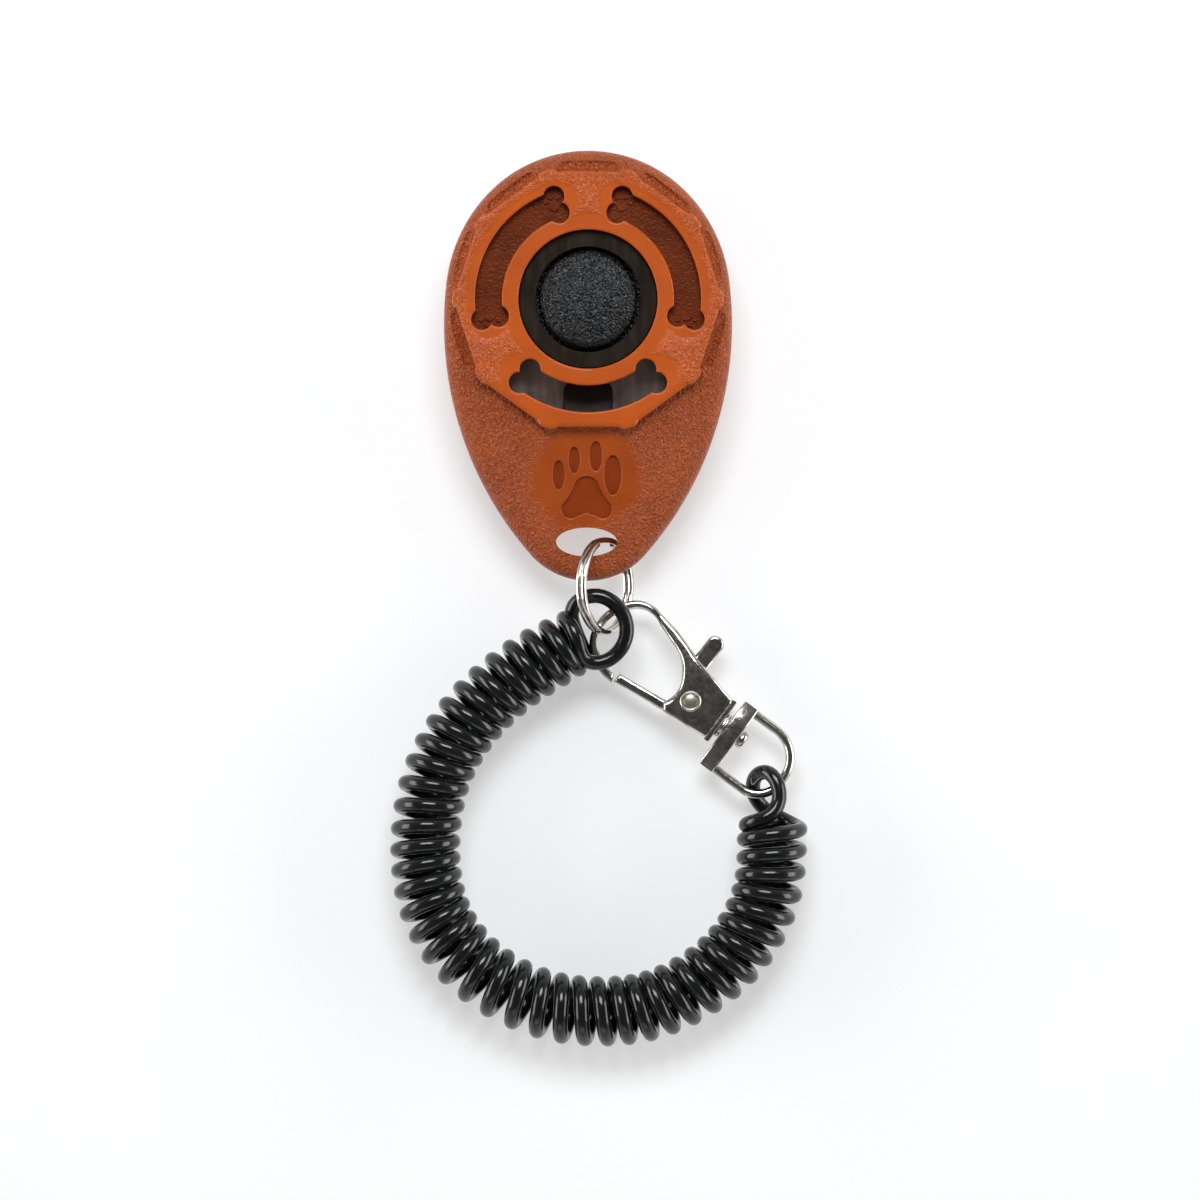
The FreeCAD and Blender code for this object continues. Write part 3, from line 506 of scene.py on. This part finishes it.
def make_hook_body(material):
    bm = rounded_plate(outline(*HOOK_OUTLINE), BODY_HALF, *BODY_EDGE, share=edge_share)
    taper_step = (TAPER_X[1] - TAPER_X[0]) / TAPER_STEPS
    divided(bm, [TAPER_X[0] + taper_step * k for k in range(TAPER_STEPS + 1)])
    for vertex in bm.verts:
        below_face = BODY_HALF - abs(vertex.co.z)
        height = max(body_half(vertex.co.x) - below_face, LEAST_HALF)
        vertex.co.z = math.copysign(height, vertex.co.z)
    body = as_object("hook_body_cast", bm, HOOK_PLACE)
    cut_away(body, as_object("lever_slot", box_mesh(*LEVER_SLOT), HOOK_PLACE))
    ridge = rounded_plate(outline(*rectangle(COLLAR_LOW, COLLAR_HIGH)), COLLAR_HALF, *SMALL_EDGE)
    to_collar = HOOK_PLACE @ Matrix.Translation((COLLAR_X, 0, 0)) @ FLAT_TO_X
    collar = as_object("hook_collar", ridge, to_collar)
    body = join("hook_body_cast", body, collar)
    stand_in(body, "hook_body", "hook", material)


def make_hook_lever(material):
    plate = rounded_plate(outline(*LEVER_OUTLINE), LEVER_HALF, *LEVER_EDGE)
    lever = as_object("hook_gate", plate, HOOK_PLACE)
    stand_in(lever, "hook_lever", "gate", material)


def make_lever_pin(material):
    """Rivet with a raised rim, a groove and a flat middle on each face."""
    face = BODY_HALF
    head = [
        (0, face + 0.42), (0.82, face + 0.42), (0.95, face + 0.36), (1.0, face + 0.14),
        (1.1, face + 0.08), (1.2, face + 0.2), (1.36, face + 0.25), (1.52, face + 0.2),
        (1.64, face + 0.02), (1.62, face - 0.05), (0.78, face - 0.06),
    ]
    profile = head + [(radius, -height) for radius, height in reversed(head)]
    place = HOOK_PLACE @ Matrix.Translation((PIVOT_X, PIVOT_Y, 0))
    pin = as_object("gate_rivet", turned(profile), place)
    stand_in(pin, "lever_pin", "hook", material)


def make_swivel_pin(material):
    """Stud with a shoulder against the collar and a rounded head beyond the bar."""
    profile = [
        (0, -1.9), (1.05, -1.9), (1.05, 0.02), (1.9, 0.03), (2.05, 0.15), (2.1, 0.35),
        (2.05, 0.55), (1.9, 0.68), (1.05, 0.7), (1.05, 3.52), (1.2, 3.53), (1.34, 3.62),
        (1.4, 3.8), (1.4, 4.1), (1.32, 4.35), (1.12, 4.55), (0.8, 4.66), (0.4, 4.7), (0, 4.7),
    ]
    place = HOOK_PLACE @ Matrix.Translation((0, STUD_Y, 0)) @ FLAT_TO_X
    pin = as_object("swivel_stud", turned(profile), place)
    stand_in(pin, "swivel_pin", "hook", material)


BAR_X = (0.8, 3.4)
BAR_PROFILE = ((4.67, 0.75), (3.5, 1.35), (1.5, 1.9), (-3.7, 1.9), (-5.3, 1.5), (-7.17, 0.8))
BAR_MIDDLE = (BAR_X[0] + BAR_X[1]) / 2
WIRE_RADIUS = 0.72
WIRE_SIDES = 20
WIRE_FAR = 12.6
WIRE_TOP, WIRE_BOTTOM = 3.95, -6.45


def wire_path():
    """Flat points along the D ring's wire, from one end of the bar to the other."""
    path = [Vector((BAR_MIDDLE, WIRE_TOP)), Vector((5.0, WIRE_TOP))]
    path += arc_points((7.4, WIRE_TOP), (11.077, 2.427), (WIRE_FAR, -1.25))
    path += [Vector((WIRE_FAR, -1.25)), Vector((WIRE_FAR, -2.0))]
    path += arc_points((WIRE_FAR, -2.25), (11.37, -5.22), (8.4, WIRE_BOTTOM))
    path += [Vector((x, WIRE_BOTTOM)) for x in (8.4, 5.5, BAR_MIDDLE)]
    return path


def make_swivel_eye(material):
    """D ring: a bar with sloping faces and a round wire bent from end to end of it."""
    corners = list(BAR_PROFILE) + [(y, -z) for y, z in reversed(BAR_PROFILE)]
    sides = list(zip(corners, corners[1:] + corners[:1]))
    bar = rounded_plate(outline(*sides), (BAR_X[1] - BAR_X[0]) / 2, *SMALL_EDGE)
    middle = Matrix.Translation((BAR_MIDDLE, 0, 0))
    bar = as_object("bar", bar, HOOK_PLACE @ middle @ FLAT_TO_X)
    path = wire_path()
    frames = []
    for k, point in enumerate(path):
        before, after = path[max(k - 1, 0)], path[min(k + 1, len(path) - 1)]
        along = (after - before).normalized()
        frames.append((Vector((*point, 0)), Vector((along.y, -along.x, 0)), UP))
    turns = [2 * math.pi * k / WIRE_SIDES for k in range(WIRE_SIDES)]
    circle = [(WIRE_RADIUS * math.cos(t), WIRE_RADIUS * math.sin(t)) for t in turns]
    loop = as_object("loop", swept(frames, circle), HOOK_PLACE)
    stand_in(join("d_ring", bar, loop), "swivel_eye", "swivel", material)


# ---- click plate ----

PLATE_X, PLATE_Y, PLATE_CORNER = 12.3, (-23.5, 12.5), 2.0
PLATE_LEVELS = (5.4, 5.8)
PLATE_POINTS = 96
PLATE_SMOOTH_ANGLE = 30
DIMPLE_RADIUS, DIMPLE_HEIGHT, DIMPLE_RINGS = 6.5, 1.6, 13


def plate_edge(along_x, along_y):
    """Where a line from the dimple's middle meets the plate's rounded outline."""
    high = PLATE_Y[1] if along_y > 0 else -PLATE_Y[0]
    reach = min(
        PLATE_X / max(abs(along_x), 1e-6),
        high / max(abs(along_y), 1e-6),
    )
    x, y = along_x * reach, along_y * reach
    inner_x, inner_y = PLATE_X - PLATE_CORNER, high - PLATE_CORNER
    if abs(x) > inner_x and abs(y) > inner_y:
        corner = Vector((math.copysign(inner_x, x), math.copysign(inner_y, y)))
        out = Vector((x, y)) - corner
        x, y = corner + out.normalized() * min(PLATE_CORNER, out.length)
    return x, y


def plate_skin(bm, level):
    """One face of the plate with its dimple; returns the points round its edge."""
    ball = (DIMPLE_RADIUS**2 + DIMPLE_HEIGHT**2) / (2 * DIMPLE_HEIGHT)
    turns = [2 * math.pi * k / PLATE_POINTS for k in range(PLATE_POINTS)]
    rings = []
    for step in range(1, DIMPLE_RINGS + 1):
        radius = DIMPLE_RADIUS * step / DIMPLE_RINGS
        height = level + math.sqrt(ball**2 - radius**2) - (ball - DIMPLE_HEIGHT)
        ring = [(radius * math.cos(t), radius * math.sin(t), height) for t in turns]
        rings.append([bm.verts.new(point) for point in ring])
    edge = [(*plate_edge(math.cos(t), math.sin(t)), level) for t in turns]
    rings.append([bm.verts.new(point) for point in edge])
    centre = bm.verts.new((0, 0, level + DIMPLE_HEIGHT))
    for k in range(PLATE_POINTS):
        bm.faces.new((centre, rings[0][k], rings[0][(k + 1) % PLATE_POINTS]))
    for first, second in zip(rings, rings[1:]):
        for k in range(PLATE_POINTS):
            n = (k + 1) % PLATE_POINTS
            bm.faces.new((first[k], first[n], second[n], second[k]))
    return rings[-1]


def make_click_plate(material):
    """Spring plate with its dimple, which the button flattens when pressed; the plate is built
    unpressed.
    """
    bm = bmesh.new()
    low, high = [plate_skin(bm, level) for level in PLATE_LEVELS]
    for k in range(PLATE_POINTS):
        n = (k + 1) % PLATE_POINTS
        bm.faces.new((low[k], low[n], high[n], high[k]))
    plate = as_object("click_spring_plate", bm, smooth_angle=PLATE_SMOOTH_ANGLE)
    stand_in(plate, "click_plate", "case", material)
    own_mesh(plate)


# ---- materials ----


class Shader:
    """A new principled material and short calls that add and join its nodes."""

    def __init__(self, name):
        self.material = bpy.data.materials.new(name)
        self.material.use_nodes = True
        self.tree = self.material.node_tree
        self.principled = self.tree.nodes["Principled BSDF"]
        self.coords = self.tree.nodes.new("ShaderNodeTexCoord").outputs["Object"]

    def set(self, **values):
        for name, value in values.items():
            self.principled.inputs[name.replace("_", " ")].default_value = value

    def link(self, output, name):
        self.tree.links.new(output, self.principled.inputs[name.replace("_", " ")])

    def node(self, kind, inputs=(), **settings):
        node = self.tree.nodes.new(kind)
        for name, value in settings.items():
            setattr(node, name, value)
        for key, value in dict(inputs).items():
            if isinstance(value, bpy.types.NodeSocket):
                self.tree.links.new(value, node.inputs[key])
            else:
                node.inputs[key].default_value = value
        return node

    def math(self, operation, first, second=0.0):
        return self.node("ShaderNodeMath", {0: first, 1: second}, operation=operation).outputs[0]

    def millimetres(self):
        """The x, y and z of the point being shaded, in millimetres."""
        scaled = self.node("ShaderNodeVectorMath", {0: self.coords, "Scale": 1 / MM}, operation="SCALE")
        split = self.node("ShaderNodeSeparateXYZ", {0: scaled.outputs[0]})
        return split.outputs[0], split.outputs[1], split.outputs[2]

    def step(self, value, low, high):
        """0 below low and 1 above high (or the other way round if low is the larger)."""
        inputs = {"Value": value, "From Min": low, "From Max": high, "To Min": 0.0, "To Max": 1.0}
        return self.node("ShaderNodeMapRange", inputs, interpolation_type="SMOOTHSTEP").outputs[0]

    def both(self, *masks):
        result = masks[0]
        for mask in masks[1:]:
            result = self.math("MULTIPLY", result, mask)
        return result

    def either(self, *masks):
        result = masks[0]
        for mask in masks[1:]:
            result = self.math("MAXIMUM", result, mask)
        return result

    def stretched(self, x, y, z):
        """Coordinates scaled along each axis, for a grain that runs one way."""
        return self.node("ShaderNodeMapping", {"Vector": self.coords, "Scale": (x, y, z)}).outputs[0]

    def noise(self, size, detail=2.0, rough=0.5, distortion=0.0, coords=None):
        """Noise whose features are about size millimetres across."""
        inputs = {
            "Vector": coords or self.coords,
            "Scale": 1.0 / (size * MM),
            "Detail": detail,
            "Roughness": rough,
            "Distortion": distortion,
        }
        return self.node("ShaderNodeTexNoise", inputs).outputs["Fac"]

    def ramp(self, value, *stops):
        """Value through a colour ramp; stops are (place, number) or (place, colour)."""
        node = self.node("ShaderNodeValToRGB", {"Fac": value})
        elements = node.color_ramp.elements
        while len(elements) < len(stops):
            elements.new(0.5)
        for element, (place, colour) in zip(elements, stops):
            element.position = place
            element.color = (colour,) * 3 + (1,) if isinstance(colour, float) else (*colour, 1)
        return node.outputs["Color"]

    def mix(self, share, first, second):
        node = self.node("ShaderNodeMix", {0: share}, data_type="RGBA")
        for socket, value in ((node.inputs[6], first), (node.inputs[7], second)):
            if isinstance(value, bpy.types.NodeSocket):
                self.tree.links.new(value, socket)
            else:
                socket.default_value = (*value, 1)
        return node.outputs[2]

    def blend(self, share, first, second):
        """Number between two numbers or outputs."""
        inputs = {0: share, 2: first, 3: second}
        return self.node("ShaderNodeMix", inputs, data_type="FLOAT").outputs[0]

    def bump(self, height, depth, normal=None):
        """Bump of that depth in millimetres."""
        inputs = {"Height": height, "Strength": 1.0, "Distance": depth * MM}
        if normal is not None:
            inputs["Normal"] = normal
        return self.node("ShaderNodeBump", inputs).outputs["Normal"]


BONE_RADIUS = 15.25
RECESS_FROM_TOP = math.radians(59.6)
RECESS_HALF = math.radians(41.2)
WINDOW_HALF = math.radians(39.5)
RING_FACE = (13.4, 13.8)
PAW_CENTRE, PAW_REACH = (-0.2, -27.5), (9.5, 8.5)
# The case's front is part of a ball, with this centre and radius in metres.
DOME_CENTRE, DOME_RADIUS = (0, 0.008, -0.2264), 0.24
# Painted shade: the colour of the dark line in the gap along the seam between the shells.
SEAM_SHADE = (0.06, 0.012, 0.003)
# Darker and lighter shade of each part of the orange plastic. The grain's darker pair is painted shade
# in its hollows, and its lighter pair is painted light on its peaks.
GRAIN_HOLLOW_SHADE = ((0.27, 0.046, 0.006), (0.34, 0.06, 0.009))
GRAIN_PEAK_LIGHT = ((0.40, 0.077, 0.011), (0.48, 0.096, 0.016))
POLISHED = ((0.42, 0.072, 0.007), (0.50, 0.09, 0.009))
CALM = ((0.30, 0.052, 0.007), (0.37, 0.068, 0.010))
# Painted shade: the floors of the bone recesses are coloured much darker than the ring's face.
RECESS_FLOOR_SHADE = ((0.12, 0.02, 0.003), (0.2, 0.034, 0.005))
# Painted shade: the sunken paw's floor is coloured darker than the calm patch round it.
PAW_FLOOR_SHADE = ((0.24, 0.036, 0.005), (0.29, 0.047, 0.007))


def squares(s, a, b):
    """a squared plus b squared."""
    return s.math("ADD", s.math("MULTIPLY", a, a), s.math("MULTIPLY", b, b))


def near_bone(s, angle, radius, centre, half, reach):
    """1 within reach of a bone's outline, 0 away from it."""
    turn = s.math("SUBTRACT", angle, centre)
    along = s.math("MULTIPLY", s.math("SUBTRACT", s.math("ABSOLUTE", turn), half), BONE_RADIUS)
    along = s.math("MAXIMUM", along, 0.0)
    across = s.math("SUBTRACT", radius, BONE_RADIUS)
    straight = s.math("SQRT", squares(s, along, across))
    distance = s.math("ADD", straight, s.math("MULTIPLY", s.noise(1.6), 0.8))
    return s.step(distance, 3.6 + reach, 2.2 + reach)


def polished_bands(s, x, y, radius):
    """The smooth bands of the ring: round the button, round each bone, and at its foot."""
    ragged = s.math("ADD", radius, s.math("MULTIPLY", s.noise(2.2), 1.2))
    from_top = s.math("ARCTAN2", x, y)
    from_bottom = s.math("ARCTAN2", x, s.math("MULTIPLY", y, -1.0))
    bands = [s.step(ragged, 14.6, 13.4)]
    for centre in (-RECESS_FROM_TOP, RECESS_FROM_TOP):
        bands.append(near_bone(s, from_top, radius, centre, RECESS_HALF, 1.2))
    bands.append(near_bone(s, from_bottom, radius, 0.0, WINDOW_HALF, 1.6))
    bands.append(s.both(s.step(y, -11.5, -13.5), s.step(radius, 13.0, 15.0)))
    return s.either(*bands)


def paw_masks(s, x, y, z):
    """The calm patch round the engraved paw, and the paw's own sunken floor."""
    across = s.math("DIVIDE", s.math("ADD", x, -PAW_CENTRE[0]), PAW_REACH[0])
    along = s.math("DIVIDE", s.math("ADD", y, -PAW_CENTRE[1]), PAW_REACH[1])
    away = squares(s, across, along)
    around = s.step(s.math("ADD", away, s.math("MULTIPLY", s.noise(6.0), 0.5)), 1.6, 0.7)
    ends = {0: s.coords, 1: DOME_CENTRE}
    from_centre = s.node("ShaderNodeVectorMath", ends, operation="DISTANCE").outputs["Value"]
    depth = s.math("MULTIPLY", s.math("SUBTRACT", from_centre, DOME_RADIUS), 1 / MM)
    sunken = s.both(s.step(depth, -0.2, -0.35), s.step(away, 1.0, 0.9), s.step(z, 8.0, 8.5))
    return around, sunken


def recess_mask(s, z, radius):
    """The floors of the two bone recesses."""
    return s.both(s.step(z, 13.1, 12.7), s.step(z, 12.0, 12.2), s.step(radius, 18.6, 18.3))


def seam_shade_mask(s, y, z):
    """Painted shade: the thin dark line in the gap where the two shells meet. It stops beside the
    lanyard hole.
    """
    return s.both(s.step(z, 5.02, 5.1), s.step(z, 5.38, 5.3), s.step(y, -36.0, -35.0))


def shaded(s, patches, shades):
    """Colour that drifts between the two shades from patch to patch."""
    return s.ramp(patches, (0.3, shades[0]), (0.7, shades[1]))


def grain_colour_with_painted_light(s, grain, patches, painted_light_scale):
    """Colour of the leather grain, with painted shade in its hollows and painted light on its peaks,
    then scaled as a whole by a factor of painted light.
    """
    low, high = shaded(s, patches, GRAIN_HOLLOW_SHADE), shaded(s, patches, GRAIN_PEAK_LIGHT)
    colour = s.mix(s.ramp(grain, (0.4, 0.0), (0.64, 1.0)), low, high)
    inputs = {0: colour, "Scale": painted_light_scale}
    return s.node("ShaderNodeVectorMath", inputs, operation="SCALE").outputs[0]


def orange_material():
    """Moulded orange plastic: leather grain, with polished bands on the ring's face. Its colour also
    holds painted shade in the grain's hollows, on the recess and paw floors and along the seam, and
    painted light on the ring's face.
    """
    s = Shader("orange_moulded")
    x, y, z = s.millimetres()
    radius = s.math("SQRT", squares(s, x, y))
    on_ring = s.step(z, *RING_FACE)
    polished = s.both(on_ring, polished_bands(s, x, y, radius))
    around_paw, in_paw = paw_masks(s, x, y, z)
    in_recess = recess_mask(s, z, radius)
    smooth = s.either(polished, around_paw, in_paw, s.math("MULTIPLY", in_recess, 0.85))

    patches = s.noise(7.0, detail=4.0)
    grain = s.noise(0.42, detail=1.0, distortion=0.7)
    fine = s.noise(0.16, detail=2.0)
    # Painted light: the grain's colour on the raised ring's face is made 1.4 times as light, and on the
    # shell round it 0.95 times.
    colour = grain_colour_with_painted_light(s, grain, patches, s.blend(on_ring, 0.95, 1.4))
    layers = (
        (s.either(around_paw, in_paw), CALM),
        (polished, POLISHED),
        # Painted shade on the recess floors.
        (in_recess, RECESS_FLOOR_SHADE),
        # Painted shade on the sunken paw's floor.
        (in_paw, PAW_FLOOR_SHADE),
    )
    for mask, shades in layers:
        colour = s.mix(mask, colour, shaded(s, patches, shades))
    # The seam's dark line is painted shade.
    s.link(s.mix(seam_shade_mask(s, y, z), colour, SEAM_SHADE), "Base_Color")
    grain_rough = s.ramp(grain, (0.4, 0.36), (0.65, 0.2))
    fine_rough = s.ramp(fine, (0.3, 0.24), (0.7, 0.34))
    s.link(s.blend(smooth, grain_rough, fine_rough), "Roughness")
    s.link(s.blend(in_recess, 0.3, 0.12), "Specular_IOR_Level")
    rough_share = s.math("SUBTRACT", 1.0, s.math("MULTIPLY", smooth, 0.95))
    leather = s.bump(s.math("MULTIPLY", grain, rough_share), 0.6)
    s.link(s.bump(fine, 0.006, leather), "Normal")
    return s.material


def button_material():
    s = Shader("button_pebbled")
    s.set(Specular_IOR_Level=0.4)
    grain = s.noise(0.4, detail=1.0, distortion=0.3)
    colour = s.ramp(grain, (0.46, (0.001, 0.0011, 0.0013)), (0.7, (0.014, 0.0155, 0.017)))
    s.link(colour, "Base_Color")
    s.link(s.ramp(s.noise(0.9), (0.3, 0.2), (0.7, 0.3)), "Roughness")
    s.link(s.bump(grain, 0.36), "Normal")
    return s.material


def guide_material():
    s = Shader("guide_gloss")
    streaks = s.noise(2.5, detail=3.0, coords=s.stretched(2.0, 0.4, 1.0))
    s.link(s.ramp(streaks, (0.3, (0.016, 0.011, 0.007)), (0.7, (0.026, 0.018, 0.012))), "Base_Color")
    s.link(s.ramp(streaks, (0.3, 0.12), (0.7, 0.24)), "Roughness")
    s.link(s.bump(streaks, 0.004), "Normal")
    return s.material


def clamp_material():
    s = Shader("clamp_black")
    patches = s.noise(1.2, detail=3.0)
    s.link(s.ramp(patches, (0.3, (0.03, 0.02, 0.015)), (0.7, (0.045, 0.03, 0.022))), "Base_Color")
    s.link(s.ramp(patches, (0.3, 0.3), (0.7, 0.45)), "Roughness")
    s.link(s.bump(s.noise(0.3), 0.01), "Normal")
    return s.material


def metal_material(name, dark, light, rough, grain_size, depth, coords=(1.0, 1.0, 1.0)):
    """Plated or bare metal with stains, an uneven polish and a slightly wavy surface."""
    s = Shader(name)
    s.set(Metallic=1.0)
    stretched = s.stretched(*coords)
    stains = s.noise(2.2, detail=4.0, rough=0.6, coords=stretched)
    s.link(s.ramp(stains, (0.32, dark), (0.62, light)), "Base_Color")
    marks = s.noise(0.5, detail=4.0, rough=0.65, coords=stretched)
    s.link(s.ramp(marks, (0.3, rough[0]), (0.72, rough[1])), "Roughness")
    waves = s.bump(s.noise(grain_size, detail=1.0, coords=stretched), depth)
    s.link(s.bump(s.noise(0.12, detail=2.0, coords=stretched), 0.0015, waves), "Normal")
    return s.material


def cord_material():
    s = Shader("cord_black")
    s.set(IOR=1.5, Specular_IOR_Level=0.5)
    bloom = s.noise(3.0, detail=4.0, rough=0.6)
    s.link(s.ramp(bloom, (0.3, (0.004, 0.0045, 0.005)), (0.75, (0.009, 0.0095, 0.01))), "Base_Color")
    s.link(s.ramp(s.noise(0.8, detail=3.0), (0.3, 0.11), (0.7, 0.22)), "Roughness")
    s.link(s.bump(s.noise(0.35, detail=2.0), 0.004, s.bump(s.noise(2.6), 0.03)), "Normal")
    return s.material


def dress(look, *nodes):
    """Gives the look to CAD nodes that keep their own shape."""
    for name in nodes:
        materials = NODES[name].data.materials
        materials.clear()
        materials.append(look)


# ---- stage and light ----


FLOOR_HALF = 3.0
PART_MIDDLE = mm(0, -50, 0)


def make_floor():
    mesh = bpy.data.meshes.new("floor")
    corners = [(x * FLOOR_HALF, y * FLOOR_HALF, 0) for x, y in ((-1, -1), (1, -1), (1, 1), (-1, 1))]
    mesh.from_pydata(corners, [], [(0, 1, 2, 3)])
    floor = bpy.data.objects.new("floor", mesh)
    bpy.context.scene.collection.objects.link(floor)
    s = Shader("floor_white")
    s.set(Specular_IOR_Level=0.1, Roughness=0.8, Emission_Color=(1, 1, 1, 1), Emission_Strength=0.42)
    s.link(s.ramp(s.noise(60.0), (0.3, 0.58), (0.7, 0.61)), "Base_Color")
    mesh.materials.append(s.material)


def softbox(name, azimuth, from_zenith, distance, width, height, radiance, colour):
    """Area light that faces the part's middle. Azimuth 0 is towards +X."""
    data = bpy.data.lights.new(name, "AREA")
    data.shape = "RECTANGLE"
    data.size = width
    data.size_y = height
    data.energy = radiance * width * height * math.pi
    data.color = colour
    light = bpy.data.objects.new(name, data)
    a, z = math.radians(azimuth), math.radians(from_zenith)
    direction = Vector((math.cos(a) * math.sin(z), math.sin(a) * math.sin(z), math.cos(z)))
    light.location = PART_MIDDLE + direction * distance
    light.rotation_euler = direction.to_track_quat("Z", "Y").to_euler()
    bpy.context.scene.collection.objects.link(light)


def make_world():
    world = bpy.data.worlds.new("studio")
    world.use_nodes = True
    tree = world.node_tree
    coords = tree.nodes.new("ShaderNodeTexCoord")
    split = tree.nodes.new("ShaderNodeSeparateXYZ")
    ramp = tree.nodes.new("ShaderNodeValToRGB")
    elements = ramp.color_ramp.elements
    stops = ((0.0, 0.75), (0.12, 0.7), (0.4, 0.22), (1.0, 0.06))
    while len(elements) < len(stops):
        elements.new(0.5)
    for element, (place, value) in zip(elements, stops):
        element.position = place
        element.color = (value, value, value, 1)
    tree.links.new(coords.outputs["Generated"], split.inputs[0])
    tree.links.new(split.outputs["Z"], ramp.inputs["Fac"])
    tree.links.new(ramp.outputs["Color"], tree.nodes["Background"].inputs["Color"])
    bpy.context.scene.world = world


def make_lights():
    make_world()
    softbox("light_back", 90, 34, 0.7, 0.42, 0.26, 11.0, (0.92, 0.95, 1.0))
    softbox("light_left", 180, 72, 0.8, 0.7, 0.36, 4.6, (1.0, 0.99, 0.97))
    softbox("light_right", 0, 74, 0.8, 0.7, 0.36, 4.6, (1.0, 0.99, 0.97))
    softbox("light_front", 270, 66, 0.9, 0.7, 0.26, 1.0, (1.0, 0.99, 0.97))


# ---- the whole scene ----

make_camera()
cord = make_cord(cord_material())

nickel = metal_material(
    "hook_nickel", (0.42, 0.39, 0.35), (0.74, 0.71, 0.65), (0.1, 0.24), 1.6, 0.05
)
wire_nickel = metal_material(
    "wire_nickel", (0.5, 0.47, 0.42), (0.78, 0.75, 0.69), (0.1, 0.2), 1.2, 0.02
)
rivet = metal_material("rivet_nickel", (0.4, 0.38, 0.32), (0.62, 0.59, 0.5), (0.3, 0.42), 0.8, 0.02)
zinc = metal_material("screw_zinc", (0.45, 0.45, 0.44), (0.68, 0.68, 0.67), (0.25, 0.4), 1.0, 0.01)
steel = metal_material(
    "plate_steel", (0.42, 0.38, 0.34), (0.62, 0.57, 0.51), (0.28, 0.45), 1.5, 0.01, (2.0, 0.3, 1.0)
)
make_split_ring(wire_nickel)
make_hook_body(nickel)
make_hook_lever(nickel)
make_lever_pin(rivet)
make_swivel_pin(nickel)
make_swivel_eye(nickel)
make_click_plate(steel)
dress(orange_material(), "front_cover", "back_cover")
dress(button_material(), "button")
dress(guide_material(), "button_guide")
dress(clamp_material(), "plate_clamp")
dress(zinc, "plate_screw", "case_screw_left", "case_screw_right", "case_screw_lower")
dress(steel, "lever_spring")
make_floor()
make_lights()
bpy.context.scene.view_settings.view_transform = "Standard"
